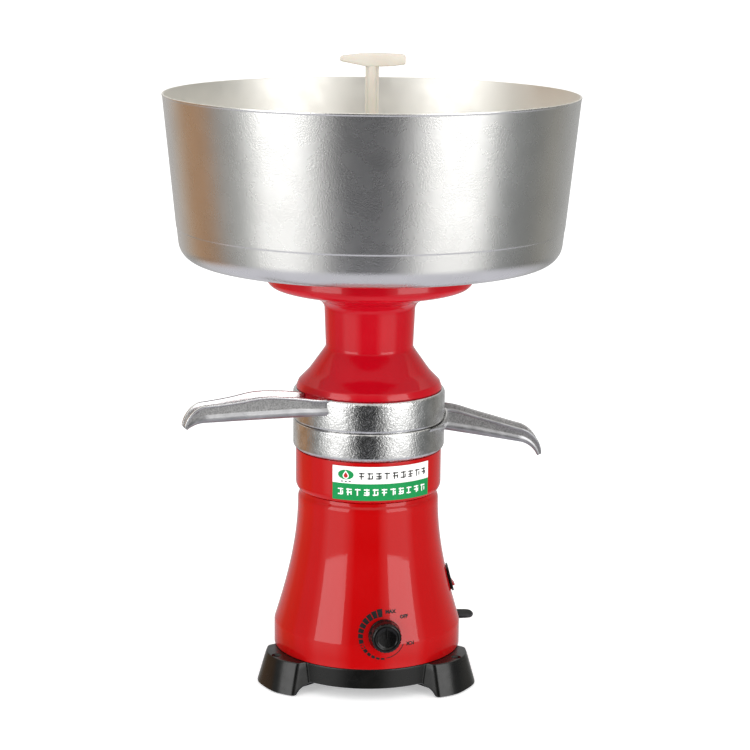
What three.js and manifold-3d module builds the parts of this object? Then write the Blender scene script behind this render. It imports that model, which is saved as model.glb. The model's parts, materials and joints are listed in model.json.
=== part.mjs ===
// Electric cream separator: a motor housing on a three-footed base, a drum chamber with the
// separating drum on the motor shaft, two cast receivers with spouts, a float chamber and a
// spun milk bowl with a tap plug. Millimetres, +Z up, origin on the floor under the axis.
// Bearings round the axis are given in degrees from the front (-Y) towards the right (+X).

import * as THREE from 'three';
import { mergeVertices } from 'three/addons/utils/BufferGeometryUtils.js';
import Module from 'manifold-3d';

// ---------------------------------------------------------------- driving dimensions
const GAP = 0.3;                 // clearance between touching pieces
const FINE = 32;                 // facets round the outer turned pieces
const MIDDLE = 20;               // facets round the drum and the armature
const COARSE = 14;               // facets round the small turned pieces

const FOOT_BEARINGS = [60, 180, 300];
const BASE_R = 83.5;
const BASE_BAND_BOTTOM = 11;
const BASE_TOP = 29;
const BASE_PLATE = 4;
const FOOT_BOTTOM = 0.8;
const FOOT_INNER = 60;
const FOOT_TOP_OUTER = 98;
const FOOT_BOTTOM_OUTER = 105;
const FOOT_TOP_HALF = 29.5;
const FOOT_BOTTOM_HALF = 33.5;
const FOOT_CHAMFER_ALONG = 11.4;
const FOOT_CHAMFER_ACROSS = 16.5;
const FOOT_HOLE_AT = 93;
const FOOT_HOLE_R = 2.6;
const PAD_AT = 75;
const PAD_R = 12;
const PAD_HEIGHT = 3;
const SCREW_AT = 73;
const SCREW_BEARINGS = [0, 120, 240];

const HOUSING_BOTTOM = BASE_TOP + GAP;
const HOUSING_BAND_R = 84.3;
const HOUSING_CREASE = 51;
const HOUSING_WAIST_R = 63.3;
const HOUSING_SHOULDER = 166;
const HOUSING_TOP = 173.85;
const HOUSING_NECK_R = 60.9;
const HOUSING_WALL = 3;

const COLLAR_R = 65.3;
const COLLAR_INNER_R = 61.8;
const COLLAR_BOTTOM = 174.15;
const COLLAR_TOP = 211.7;
const LABEL_BEARING = 12.6;
const LABEL_SPAN = 81.4;
const LABEL_BOTTOM = 178;
const LABEL_TOP = 208.5;

const DIAL_BEARING = 10.75;
const DIAL_HEIGHT = 61;
const DIAL_RADIUS = 83.5;
const DIAL_TILT = 3;
const KNOB_R = 14.5;
const KNOB_DEPTH = 14;

const SWITCH_BEARING = 92.5;
const SWITCH_HEIGHT = 88.5;
const SWITCH_RADIUS = 73.9;
const SWITCH_TILT = 14.6;
const SWITCH_WIDTH = 15;
const SWITCH_TALL = 23;
const ROCKER_TILT = 10;

const CORD_BEARING = 130;
const CORD_HEIGHT = 37.5;
const CORD_DROOP = 10;
const CORD_R = 3.1;
const GLAND_LENGTH = 22;
const COIL_CENTRE = [29, 157];
const COIL_MID_R = 34;
const COIL_ROWS = 4;
const COIL_LAYERS = 2;
const PLUG_AT = [-21.2, 159.2, 10.8];
const PLUG_HEADING = 225;

const SHAFT_R = 4;
const SHAFT_BOTTOM = 42;
const SHAFT_TOP = 187;
const BRACKET_THICK = 4;
const LOWER_BRACKET_R = 50;
const LOWER_BRACKET_AT = 50;
const UPPER_BRACKET_R = 59.6;
const UPPER_BRACKET_AT = 148;
const POST_AT = 44;
const BEARING_R = 9;
const STATOR_R = 46;
const STATOR_BORE = 30.6;
const STATOR_BOTTOM = 78;
const STATOR_TOP = 122;
const STATOR_BOLT_AT = 40;
const STATOR_BOLT_R = 2.2;
const FIELD_COIL_R = 29.6;
const FIELD_COIL_INNER = 25.4;
const FIELD_COIL_OVERHANG = 6;
const ARMATURE_R = 24.6;
const COMMUTATOR_R = 11;
const COMMUTATOR_BOTTOM = 62;
const COMMUTATOR_TOP = 74;
const FAN_R = 36;
const FAN_BOTTOM = 132;
const FAN_TOP = 142;
const DRUM_R = 57.5;
const DRUM_BOTTOM = 180.5;
const DRUM_SPLIT = 193;
const DRUM_SHOULDER = 228;
const DRUM_NECK_R = 14;
const DRUM_TOP = 262;
const DISC_COUNT = 8;
const DISC_PITCH = 1.5;
const STACK_DROP = 4;

const SKIM_BOTTOM = 212;
const SKIM_FLOOR = 225;
const SKIM_TOP = 237.85;
const SKIM_R = 67.8;
const CREAM_BOTTOM = 238.15;
const CREAM_FLOOR = 252.4;
const CREAM_TOP = 266;
const CREAM_R = 68;
const RECEIVER_INNER_R = 64.5;
const RECEIVER_PLATE = 2.5;
const SPOUT_WALL = 2.2;
const SPOUT_SKIN = 2;
const SPOUT_CHAMFER = 4.5;
const BEAK_TIP = 4.5;

const FLOAT_CHAMBER_BOTTOM = 266.6;
const CONE_R = 65.3;
const CONE_TOP = 300.5;
const NECK_R = 39;
const NECK_TOP = 341;
const DISH_R = 92;
const DISH_TOP = 381.4;
const CHAMBER_WALL = 2.5;
const FEED_R = 6;

const BOWL_BOTTOM = 381.9;
const BOWL_RIM = 527.5;
const BOWL_RIM_R = 182.5;
const BOWL_CORNER_R = 18;
const BOWL_FOOT_R = 151.3;
const BOWL_CREASE = 412;
const BOWL_CREASE_R = 171;
const BOWL_WALL = 1.5;
const OUTLET_R = 8;

const STEM_R = 4.25;
const HANDLE_LENGTH = 58;
const HANDLE_BOTTOM = 551;
const HANDLE_TOP = 562.5;

// ---------------------------------------------------------------- geometry helpers
const wasm = await Module();
wasm.setup();

const rad = THREE.MathUtils.degToRad;

// A point at a radius and bearing round the axis.
function around(radius, bearing, z = 0) {
  return new THREE.Vector3(radius * Math.sin(rad(bearing)), -radius * Math.cos(rad(bearing)), z);
}

// One closed body with shared vertices, no collapsed triangles and its faces pointing out.
function closed(source) {
  const bare = new THREE.BufferGeometry();
  bare.setAttribute('position', source.getAttribute('position').clone());
  if (source.index) bare.setIndex(source.index.clone());
  const merged = mergeVertices(bare, 1e-3);
  const at = merged.getAttribute('position');
  const corners = merged.index.array;
  const kept = [];
  let volume = 0;
  const [a, b, c] = [new THREE.Vector3(), new THREE.Vector3(), new THREE.Vector3()];
  for (let i = 0; i < corners.length; i += 3) {
    const [p, q, r] = [corners[i], corners[i + 1], corners[i + 2]];
    if (p === q || q === r || r === p) continue;
    kept.push(p, q, r);
    a.fromBufferAttribute(at, p);
    b.fromBufferAttribute(at, q);
    c.fromBufferAttribute(at, r);
    volume += a.dot(b.cross(c));
  }
  if (volume < 0) kept.reverse();
  merged.setIndex(kept);
  return merged;
}

function toSolid(geometry) {
  const mesh = closed(geometry);
  return new wasm.Manifold(new wasm.Mesh({
    numProp: 3,
    vertProperties: new Float32Array(mesh.getAttribute('position').array),
    triVerts: new Uint32Array(mesh.index.array),
  }));
}

function fromSolid(solid) {
  const mesh = solid.getMesh();
  const geometry = new THREE.BufferGeometry();
  geometry.setAttribute('position', new THREE.BufferAttribute(new Float32Array(mesh.vertProperties), 3));
  geometry.setIndex(new THREE.BufferAttribute(new Uint32Array(mesh.triVerts), 1));
  return geometry;
}

function join(...pieces) {
  return fromSolid(pieces.map(toSolid).reduce((whole, piece) => whole.add(piece)));
}

function cut(body, ...tools) {
  return fromSolid(tools.map(toSolid).reduce((rest, tool) => rest.subtract(tool), toSolid(body)));
}

// A solid of revolution about Z from [radius, z] points. The outline starts and ends on the
// axis, or closes on itself.
function revolve(outline, facets = COARSE) {
  const points = outline.map(([r, z]) => new THREE.Vector2(r, z));
  const onAxis = outline[0][0] === 0 && outline[outline.length - 1][0] === 0;
  if (!onAxis) points.push(points[0].clone());
  return closed(new THREE.LatheGeometry(points, facets).rotateX(Math.PI / 2));
}

// A ring with a rectangular section.
function ring(inner, outer, z0, z1, facets = COARSE) {
  return revolve([[inner, z0], [outer, z0], [outer, z1], [inner, z1]], facets);
}

// A round bar along Z.
function bar(radius, z0, z1, facets = COARSE) {
  return revolve([[0, z0], [radius, z0], [radius, z1], [0, z1]], facets);
}

function block(x0, x1, y0, y1, z0, z1) {
  const box = new THREE.BoxGeometry(x1 - x0, y1 - y0, z1 - z0);
  return box.translate((x0 + x1) / 2, (y0 + y1) / 2, (z0 + z1) / 2);
}

function prism(outline, z0, z1) {
  const shape = new THREE.Shape(outline.map(([x, y]) => new THREE.Vector2(x, y)));
  const depth = z1 - z0;
  return closed(new THREE.ExtrudeGeometry(shape, { depth, bevelEnabled: false }).translate(0, 0, z0));
}

// Points on an arc in the plane, from angle a to angle b in degrees.
function arc(x, y, radius, a, b, steps) {
  return Array.from({ length: steps + 1 }, (_, i) => {
    const angle = rad(a + (b - a) * i / steps);
    return [x + radius * Math.cos(angle), y + radius * Math.sin(angle)];
  });
}

// A closed body through sections with the same number of points, capped at both ends.
function loft(sections) {
  const count = sections[0].length;
  const positions = sections.flat().flatMap((point) => [point.x, point.y, point.z]);
  const index = [];
  for (let s = 0; s + 1 < sections.length; s += 1) {
    for (let i = 0; i < count; i += 1) {
      const [a, b] = [s * count + i, s * count + (i + 1) % count];
      index.push(a, b, a + count, b, b + count, a + count);
    }
  }
  const centre = new THREE.Vector3();
  const first = sections[0];
  const side = new THREE.Vector3().subVectors(first[1], first[0]).normalize();
  const ahead = new THREE.Vector3().subVectors(sections[1][0], first[0]);
  const across = new THREE.Vector3().crossVectors(ahead, side).normalize();
  const flat = first.map((point) => {
    centre.subVectors(point, first[0]);
    return new THREE.Vector2(centre.dot(side), centre.dot(across));
  });
  const last = (sections.length - 1) * count;
  const clockwise = THREE.ShapeUtils.isClockWise(flat);
  for (const [a, b, c] of THREE.ShapeUtils.triangulateShape(flat, [])) {
    const forward = THREE.ShapeUtils.isClockWise([flat[a], flat[b], flat[c]]) === clockwise;
    const [p, q] = forward ? [b, c] : [c, b];
    index.push(a, q, p, last + a, last + p, last + q);
  }
  const geometry = new THREE.BufferGeometry();
  geometry.setAttribute('position', new THREE.Float32BufferAttribute(positions, 3));
  geometry.setIndex(index);
  return geometry;
}

// The placement of a fitting on the housing: its Z is the outward normal, its Y climbs the wall.
function wallFrame(radius, bearing, z, tilt) {
  const turn = new THREE.Matrix4().makeRotationZ(rad(bearing));
  const lean = new THREE.Matrix4().makeRotationX(rad(90 - tilt));
  const place = new THREE.Matrix4().setPosition(around(radius, bearing, z));
  return place.multiply(turn).multiply(lean);
}

// ---------------------------------------------------------------- materials and the group
const group = new THREE.Group();
group.name = 'cream_separator';

function finish(color, roughness, metalness = 0) {
  return new THREE.MeshStandardMaterial({ color, roughness, metalness });
}

const RED = finish(0xb80f1a, 0.18);
const RED_PLASTIC = finish(0xc01420, 0.2);
const CAST = finish(0xa9abae, 0.35, 1);
const SPUN = finish(0xb9b8b4, 0.32, 1);
const BLACK = finish(0x1b1c1e, 0.55);
const KNOB = finish(0x101113, 0.25);
const IVORY = finish(0xe9e2d2, 0.45);
const RUBBER = finish(0x202022, 0.8);
const STEEL = finish(0x9a9c9f, 0.3, 1);
const COPPER = finish(0xb26b3a, 0.35, 1);
const LABEL = finish(0xf2f3f2, 0.4);
const SWITCH_RED = finish(0x8e1019, 0.3);
const BOARD = finish(0x1f5a35, 0.6);
const BRUSH = finish(0x6b4b2a, 0.6);

function add(name, geometry, material, matrix) {
  const mesh = new THREE.Mesh(geometry, material);
  mesh.name = name;
  if (matrix) mesh.applyMatrix4(matrix);
  group.add(mesh);
  return mesh;
}

// ---------------------------------------------------------------- base
// A foot's outline at one level: a lobe with two chamfered corners, pointing along -Y.
function footOutline(outer, half, z, bearing) {
  const shoulder = outer - FOOT_CHAMFER_ALONG;
  const front = half - FOOT_CHAMFER_ACROSS;
  const outline = [
    [half, FOOT_INNER], [half, shoulder], [front, outer], [-front, outer], [-half, shoulder],
    [-half, FOOT_INNER],
  ];
  const turn = new THREE.Matrix4().makeRotationZ(rad(bearing + 180));
  return outline.map(([x, y]) => new THREE.Vector3(x, y, z).applyMatrix4(turn));
}

function makeBase() {
  const band = ring(BASE_R - 4, BASE_R, BASE_BAND_BOTTOM, BASE_TOP, FINE);
  const plate = ring(32, BASE_R - 2, BASE_TOP - BASE_PLATE, BASE_TOP, FINE);
  const feet = FOOT_BEARINGS.map((bearing) => loft([
    footOutline(FOOT_BOTTOM_OUTER, FOOT_BOTTOM_HALF, FOOT_BOTTOM, bearing),
    footOutline(FOOT_TOP_OUTER, FOOT_TOP_HALF, BASE_TOP, bearing),
  ]));
  const holes = [];
  for (const bearing of FOOT_BEARINGS) {
    const hole = around(FOOT_HOLE_AT, bearing);
    holes.push(bar(FOOT_HOLE_R, -5, BASE_TOP + 5, 12).translate(hole.x, hole.y, 0));
    const recess = around(PAD_AT, bearing);
    holes.push(bar(PAD_R + 0.4, -5, PAD_HEIGHT + GAP, COARSE).translate(recess.x, recess.y, 0));
  }
  for (const bearing of SCREW_BEARINGS) {
    const hole = around(SCREW_AT, bearing);
    holes.push(bar(2, 5, BASE_TOP + 5, 12).translate(hole.x, hole.y, 0));
  }
  add('base', cut(join(band, plate, ...feet), ...holes), BLACK);
}

function makeBaseFittings() {
  FOOT_BEARINGS.forEach((bearing, i) => {
    const at = around(PAD_AT, bearing);
    add(`foot_pad_${i + 1}`, bar(PAD_R, 0, PAD_HEIGHT).translate(at.x, at.y, 0), RUBBER);
  });
  SCREW_BEARINGS.forEach((bearing, i) => {
    const at = around(SCREW_AT, bearing);
    const head = BASE_TOP - BASE_PLATE - GAP;
    const outline = [[0, head - 2.6], [3, head - 2.6], [3.8, head], [1.6, head], [1.6, 40], [0, 40]];
    add(`base_screw_${i + 1}`, revolve(outline, 12).translate(at.x, at.y, 0), STEEL);
  });
}

// ---------------------------------------------------------------- motor housing
// The bell of the housing: straight at the band, flaring in smoothly to the waist.
function housingRadius(z) {
  const t = (z - HOUSING_CREASE) / (HOUSING_SHOULDER - HOUSING_CREASE);
  const drop = HOUSING_BAND_R - HOUSING_WAIST_R;
  return HOUSING_WAIST_R + drop * (1 - t) ** 2.1 * (1 + 0.42 * t);
}

function makeHousing() {
  const bell = Array.from({ length: 8 }, (_, i) => {
    const z = HOUSING_CREASE + (HOUSING_SHOULDER - HOUSING_CREASE) * i / 7;
    return [housingRadius(z), z];
  });
  const inside = bell.filter((_, i) => i % 2 === 0).map(([r, z]) => [r - HOUSING_WALL, z]).reverse();
  const shell = revolve([
    [HOUSING_BAND_R, HOUSING_BOTTOM],
    ...bell,
    [62.6, 169], [61.1, 171], [HOUSING_NECK_R, HOUSING_TOP],
    [12, HOUSING_TOP], [12, HOUSING_TOP - 3.5], [57, HOUSING_TOP - 3.5],
    ...inside,
    [HOUSING_BAND_R - HOUSING_WALL, HOUSING_BOTTOM],
  ], FINE);
  const bosses = SCREW_BEARINGS.map((bearing) => {
    const at = around(SCREW_AT + 3, bearing);
    return bar(6.5, HOUSING_BOTTOM, 46, 16).translate(at.x, at.y, 0);
  });
  const pilots = SCREW_BEARINGS.map((bearing) => {
    const at = around(SCREW_AT, bearing);
    return bar(1.95, 20, 41, 12).translate(at.x, at.y, 0);
  });
  const dial = bar(4.2, -10, 10, 16).applyMatrix4(dialFrame());
  const cutout = block(-6.9, 6.9, -10.6, 10.6, -15, 10).applyMatrix4(switchFrame());
  const cordHole = bar(5.6, -12, 10, 16).applyMatrix4(cordFrame());
  add('motor_housing', cut(join(shell, ...bosses), ...pilots, dial, cutout, cordHole), RED);
}

function dialFrame() {
  return wallFrame(DIAL_RADIUS, DIAL_BEARING, DIAL_HEIGHT, DIAL_TILT);
}

function switchFrame() {
  return wallFrame(SWITCH_RADIUS, SWITCH_BEARING, SWITCH_HEIGHT, SWITCH_TILT);
}

function cordFrame() {
  return wallFrame(HOUSING_BAND_R, CORD_BEARING, CORD_HEIGHT, -CORD_DROOP);
}

// The speed regulator: its spindle comes through the wall and carries the knob.
function makeDial() {
  const spindle = [
    [0, -18.8], [8.5, -18.8], [8.5, -8.4], [3.8, -8.4], [3.8, 0.4], [3, 0.4], [3, 8.2], [0, 8.2],
  ];
  add('potentiometer', revolve(spindle), STEEL, dialFrame());
  const face = KNOB_DEPTH + 0.8;
  const knob = [
    [0, 8.6], [3.4, 8.6], [3.4, 0.8], [KNOB_R, 0.8], [KNOB_R, 3.4], [KNOB_R - 1.2, face - 2.4],
    [KNOB_R - 2.4, face - 0.7], [KNOB_R - 4.5, face - 0.2], [0, face],
  ];
  add('speed_knob', revolve(knob, MIDDLE), KNOB, dialFrame());
}

function makeSwitch() {
  const [w, h] = [SWITCH_WIDTH / 2, SWITCH_TALL / 2];
  const bezel = block(-w, w, -h, h, 0.5, 2.3);
  const barrel = block(-6.4, 6.4, -10.1, 10.1, -16, 1);
  const well = block(-5.2, 5.2, -9.3, 9.3, -6, 5);
  add('switch_body', cut(join(bezel, barrel), well), BLACK, switchFrame());
  const side = [[-8.2, 3], [0, 1.5], [8.2, 3], [7.6, -2.2], [4, -4.2], [-4, -4.2], [-7.6, -2.2]];
  const rocker = prism(side, -4.9, 4.9);
  const stand = new THREE.Matrix4().makeBasis(
    new THREE.Vector3(0, 1, 0), new THREE.Vector3(0, 0, 1), new THREE.Vector3(1, 0, 0),
  );
  rocker.applyMatrix4(stand).rotateX(rad(-ROCKER_TILT));
  add('switch_rocker', rocker, SWITCH_RED, switchFrame());
}

// ---------------------------------------------------------------- mains lead
// The lead leaves the gland a little downwards, sweeps round behind the housing and comes down.
const CORD_ROUTE = [
  [88, 73.8, 32.1], [95.3, 82.4, 29.2], [98.2, 91.9, 24.9], [97.3, 101.8, 20.8], [92.8, 110.6, 17.6],
  [85.3, 117.1, 14.8], [78.4, 122.9, 12.2], [74.4, 129.6, 9.9], [73.2, 133, 9],
];

function makeCord() {
  const flange = 1.7;
  const end = flange + GLAND_LENGTH;
  const gland = [
    [0, -7.5], [7, -7.5], [7, -4.7], [5.1, -4.7], [5.1, flange], [7.2, flange], [7.2, flange + 2.2],
    [5.6, flange + 3], [4.3, end], [0, end],
  ];
  add('cable_gland', revolve(gland, 16), RUBBER, cordFrame());
  const out = new THREE.Vector3(0, 0, end + GAP).applyMatrix4(cordFrame());
  const route = [out, ...CORD_ROUTE.map((point) => new THREE.Vector3(...point))];
  const path = new THREE.CatmullRomCurve3(route);
  const section = new THREE.Shape().absarc(0, 0, CORD_R, 0, 2 * Math.PI);
  const tube = new THREE.ExtrudeGeometry(section, { steps: 14, curveSegments: 4, extrudePath: path });
  add('power_cord', closed(tube), RUBBER);
  const half = CORD_R * COIL_ROWS;
  const coil = ring(COIL_MID_R - half, COIL_MID_R + half, 0.2, 2 * CORD_R * COIL_LAYERS + 0.2, MIDDLE);
  add('cord_coil', coil.translate(COIL_CENTRE[0], COIL_CENTRE[1], 0), RUBBER);
}

// A two-pin plug that lies beside the coil, its boot at the coil's outer turn.
function makePlug() {
  const boot = [[0, 0], [3.6, 0], [5.4, 20], [0, 20]];
  const body = [[0, 19], [7.5, 19], [9, 24], [9, 34], [12, 40], [17, 46], [17, 52], [0, 52]];
  const pins = [-9.5, 9.5].map((x) => bar(2.4, 51, 71, 12).translate(x, 0, 0));
  const flat = revolve(body, 20).scale(1, 0.62, 1);
  const lay = new THREE.Matrix4().makeRotationY(Math.PI / 2);
  const place = new THREE.Matrix4().makeTranslation(...PLUG_AT)
    .multiply(new THREE.Matrix4().makeRotationZ(rad(PLUG_HEADING))).multiply(lay)
    .multiply(new THREE.Matrix4().makeRotationZ(Math.PI / 2));
  add('power_plug', join(revolve(boot, 16), flat, ...pins), BLACK, place);
}

// ---------------------------------------------------------------- motor
function makeMotor() {
  const bearingSeat = BEARING_R + GAP;
  const lowerTop = LOWER_BRACKET_AT + BRACKET_THICK;
  const upperTop = UPPER_BRACKET_AT + BRACKET_THICK;
  const posts = [0, 120, 240].map((bearing) => {
    const at = around(POST_AT, bearing);
    return bar(4, BASE_TOP + GAP, LOWER_BRACKET_AT + 1, 12).translate(at.x, at.y, 0);
  });
  const boltAt = [90, 270].map((bearing) => around(STATOR_BOLT_AT, bearing));
  const boltHoles = boltAt.map((at) => (
    bar(STATOR_BOLT_R + 0.4, LOWER_BRACKET_AT - 5, upperTop + 5, 12).translate(at.x, at.y, 0)
  ));
  const lower = ring(bearingSeat, LOWER_BRACKET_R, LOWER_BRACKET_AT, lowerTop);
  const upper = ring(bearingSeat, UPPER_BRACKET_R, UPPER_BRACKET_AT, upperTop);
  const stator = ring(STATOR_BORE, STATOR_R, STATOR_BOTTOM, STATOR_TOP, MIDDLE);
  add('lower_bracket', cut(join(lower, ...posts), ...boltHoles), CAST);
  add('upper_bracket', cut(upper, ...boltHoles), CAST);
  add('stator_core', cut(stator, ...boltHoles), STEEL);
  boltAt.forEach((at, i) => {
    const head = LOWER_BRACKET_AT - GAP;
    const bolt = revolve([
      [0, head - 3.1], [4, head - 3.1], [4, head], [STATOR_BOLT_R, head],
      [STATOR_BOLT_R, upperTop + 3], [0, upperTop + 3],
    ], 12);
    add(`stator_bolt_${i + 1}`, bolt.translate(at.x, at.y, 0), STEEL);
  });
  [0, 180].forEach((turn, i) => {
    const outline = [
      ...arc(0, 0, FIELD_COIL_R, turn - 62, turn + 62, 8),
      ...arc(0, 0, FIELD_COIL_INNER, turn + 62, turn - 62, 8),
    ];
    const coil = prism(outline, STATOR_BOTTOM - FIELD_COIL_OVERHANG, STATOR_TOP + FIELD_COIL_OVERHANG);
    add(`field_coil_${i + 1}`, coil, COPPER);
  });
  const bearing = (z) => ring(SHAFT_R + GAP, BEARING_R, z - 0.4, z + BRACKET_THICK + 0.4);
  add('lower_bearing', bearing(LOWER_BRACKET_AT), STEEL);
  add('upper_bearing', bearing(UPPER_BRACKET_AT), STEEL);
  [0, 180].forEach((turn, i) => {
    const holder = block(-5, 5, -26, -COMMUTATOR_R - 0.6, COMMUTATOR_BOTTOM + 1, COMMUTATOR_TOP - 2);
    add(`brush_holder_${i + 1}`, holder.rotateZ(rad(turn)), BRUSH);
  });
  add('control_board', join(
    block(-22, 22, 60, 61.6, 60, 98), block(-18, -6, 52, 60.5, 64, 78),
    block(4, 16, 54, 60.5, 66, 90), block(-14, -8, 56, 60.5, 84, 92),
  ), BOARD);
}

// ---------------------------------------------------------------- rotor
function makeRotor() {
  const bore = SHAFT_R + GAP;
  add('motor_shaft', bar(SHAFT_R, SHAFT_BOTTOM, SHAFT_TOP), STEEL);
  add('armature_core', ring(bore, ARMATURE_R, STATOR_BOTTOM + 2, STATOR_TOP - 2, MIDDLE), STEEL);
  add('commutator', ring(bore, COMMUTATOR_R, COMMUTATOR_BOTTOM, COMMUTATOR_TOP), COPPER);
  const blades = Array.from({ length: 8 }, (_, i) => (
    block(12, FAN_R - 1, -0.8, 0.8, FAN_BOTTOM + 1, FAN_TOP).rotateZ(i * Math.PI / 4)
  ));
  const web = ring(bore, FAN_R, FAN_BOTTOM, FAN_BOTTOM + 2);
  const hub = ring(bore, 13, FAN_BOTTOM, FAN_TOP);
  add('cooling_fan', join(web, hub, ...blades), BLACK);
}

// The drum: base, disc holder, stack of cone discs, separating disc, seal, cover and nut.
function makeDrum() {
  const bore = SHAFT_R + GAP;
  add('drum_base', revolve([
    [bore, DRUM_BOTTOM - 1.5], [12, DRUM_BOTTOM - 1.5], [12, DRUM_BOTTOM], [DRUM_R - 3, DRUM_BOTTOM],
    [DRUM_R, DRUM_BOTTOM + 3], [DRUM_R, DRUM_SPLIT], [DRUM_R - 4, DRUM_SPLIT],
    [DRUM_R - 4, DRUM_BOTTOM + 4], [10.6, DRUM_BOTTOM + 4], [10.6, 191], [bore, 191],
  ], MIDDLE), STEEL);
  add('drum_seal', ring(DRUM_R - 3.6, DRUM_R - 0.4, DRUM_SPLIT + GAP, DRUM_SPLIT + 2.1, MIDDLE), RUBBER);
  const slope = (DRUM_R - 1 - DRUM_NECK_R) / (DRUM_SHOULDER - DRUM_SPLIT - 5);
  add('drum_cover', revolve([
    [DRUM_R - 3.5, DRUM_SPLIT + 2.4], [DRUM_R, DRUM_SPLIT + 2.4], [DRUM_R - 1, DRUM_SPLIT + 5],
    [DRUM_NECK_R, DRUM_SHOULDER], [DRUM_NECK_R, 252], [DRUM_NECK_R - 2.2, 252],
    [DRUM_NECK_R - 2.2, DRUM_SHOULDER - 0.8], [DRUM_R - 3.5, DRUM_SPLIT + 4.2],
  ], MIDDLE), STEEL);
  const coneFloor = (r) => DRUM_BOTTOM + 8 + (50 - r) / slope;
  add('disc_holder', revolve([
    [8, 191.3], [17, 191.3], [17, 196], [11.2, 203], [11.2, 246], [8.4, 246], [8.4, 196],
  ]), RED_PLASTIC);
  for (let i = 0; i < DISC_COUNT; i += 1) {
    const lift = i * DISC_PITCH - STACK_DROP;
    add(`disc_${i + 1}`, revolve([
      [46, coneFloor(46) + lift], [46.5, coneFloor(46) + lift + 0.5],
      [18.2, coneFloor(18.2) + lift + 0.6], [18.2, coneFloor(18.2) + lift],
    ]), STEEL);
  }
  const top = DISC_COUNT * DISC_PITCH - STACK_DROP;
  add('separating_disc', revolve([
    [46, coneFloor(46) + top], [46.5, coneFloor(46) + top + 0.6],
    [18, coneFloor(18) + top + 0.8], [11.6, coneFloor(18) + top + 0.8], [11.6, coneFloor(18) + top],
    [18, coneFloor(18) + top],
  ]), STEEL);
  add('drum_nut', revolve([
    [8.4, 252.4], [13.2, 252.4], [13.2, 256], [11.5, DRUM_TOP], [8.4, DRUM_TOP],
  ]), STEEL);
}

// ---------------------------------------------------------------- drum chamber and label
function makeDrumChamber() {
  const floor = COLLAR_BOTTOM + 3.2;
  add('drum_chamber', revolve([
    [9.4, COLLAR_BOTTOM], [61, COLLAR_BOTTOM], [63.4, COLLAR_BOTTOM + 1.2],
    [64.9, COLLAR_BOTTOM + 3.2], [COLLAR_R, COLLAR_BOTTOM + 6], [COLLAR_R, COLLAR_TOP],
    [COLLAR_INNER_R, COLLAR_TOP], [COLLAR_INNER_R, COLLAR_BOTTOM + 6], [59.5, floor],
    [9.4, floor],
  ], FINE), RED);
  add('shaft_seal', ring(SHAFT_R + 0.6, 9, COLLAR_BOTTOM, floor), RUBBER);
  const inner = COLLAR_R + GAP;
  const from = LABEL_BEARING - LABEL_SPAN / 2 - 90;
  const to = LABEL_BEARING + LABEL_SPAN / 2 - 90;
  const outline = [...arc(0, 0, inner + 0.4, from, to, 16), ...arc(0, 0, inner, to, from, 16)];
  add('label_plate', prism(outline, LABEL_BOTTOM, LABEL_TOP), LABEL);
}

// ---------------------------------------------------------------- receivers
// An open trough with a rounded bottom that tapers, falls at a slope and ends in a drooping beak.
// Its centre line passes a root point in plan at a heading (degrees from +X); it starts a lead
// behind that point.
function trough({ root, heading, floor, slope, lead, length, halves, heights, droop, beakRadius }) {
  const ahead = new THREE.Vector3(Math.cos(rad(heading)), Math.sin(rad(heading)), 0);
  const side = new THREE.Vector3(-ahead.y, ahead.x, 0);
  const up = new THREE.Vector3(0, 0, 1);
  const straight = 6;
  const beak = 5;
  const sections = [];
  const place = new THREE.Vector3(root[0], root[1], floor);
  const station = (at, pitch, half, height) => {
    const normal = ahead.clone().multiplyScalar(Math.sin(pitch)).addScaledVector(up, Math.cos(pitch));
    const point = (v, n) => at.clone().addScaledVector(side, v).addScaledVector(normal, n);
    const c = Math.min(SPOUT_CHAMFER, height * 0.45);
    const inner = half - SPOUT_WALL;
    sections.push([
      point(half, height), point(half, c), point(half - c, 0), point(c - half, 0), point(-half, c),
      point(-half, height), point(-inner, height), point(-inner, c + 0.4),
      point(c - half + 1, SPOUT_SKIN), point(half - c - 1, SPOUT_SKIN), point(inner, c + 0.4),
      point(inner, height),
    ]);
  };
  const pitch = rad(slope);
  const height = new THREE.SplineCurve(heights.map((h, i) => new THREE.Vector2(i, h)));
  for (let i = 0; i <= straight; i += 1) {
    const t = THREE.MathUtils.lerp(-lead / length, 1, i / straight);
    const fall = length * t * Math.tan(pitch);
    const at = place.clone().addScaledVector(ahead, length * t).addScaledVector(up, -fall);
    const half = THREE.MathUtils.lerp(halves[0], halves[1], t);
    station(at, pitch, half, height.getPoint(Math.max(t, 0)).y);
  }
  const knee = place.clone().addScaledVector(ahead, length).addScaledVector(up, -length * Math.tan(pitch));
  for (let i = 1; i <= beak; i += 1) {
    const t = i / beak;
    const turn = rad(droop) * t;
    const run = beakRadius * (Math.sin(pitch + turn) - Math.sin(pitch));
    const fall = beakRadius * (Math.cos(pitch) - Math.cos(pitch + turn));
    const at = knee.clone().addScaledVector(ahead, run).addScaledVector(up, -fall);
    const tip = heights[heights.length - 1];
    const half = THREE.MathUtils.lerp(halves[1], halves[2], t);
    station(at, pitch + turn, half, tip - (tip - BEAK_TIP) * t ** 1.35);
  }
  return loft(sections);
}

// A receiver casting: a ring with a floor, an upstand round the drum neck, a spigot below and
// a spout that opens through its wall.
function receiver(outline, spout, keepOut, window) {
  const inside = bar(RECEIVER_INNER_R, 0, 400, FINE);
  const arm = cut(trough(spout), inside, keepOut);
  return join(cut(revolve(outline, FINE), window), arm);
}

// The hollow of a trough's root, which opens the ring's wall.
function mouth(spout, z0, z1) {
  const half = spout.halves[0] - SPOUT_WALL - 0.4;
  const hole = block(-14, 24, -half, half, z0, z1);
  return hole.rotateZ(rad(spout.heading)).translate(spout.root[0], spout.root[1], 0);
}

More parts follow.
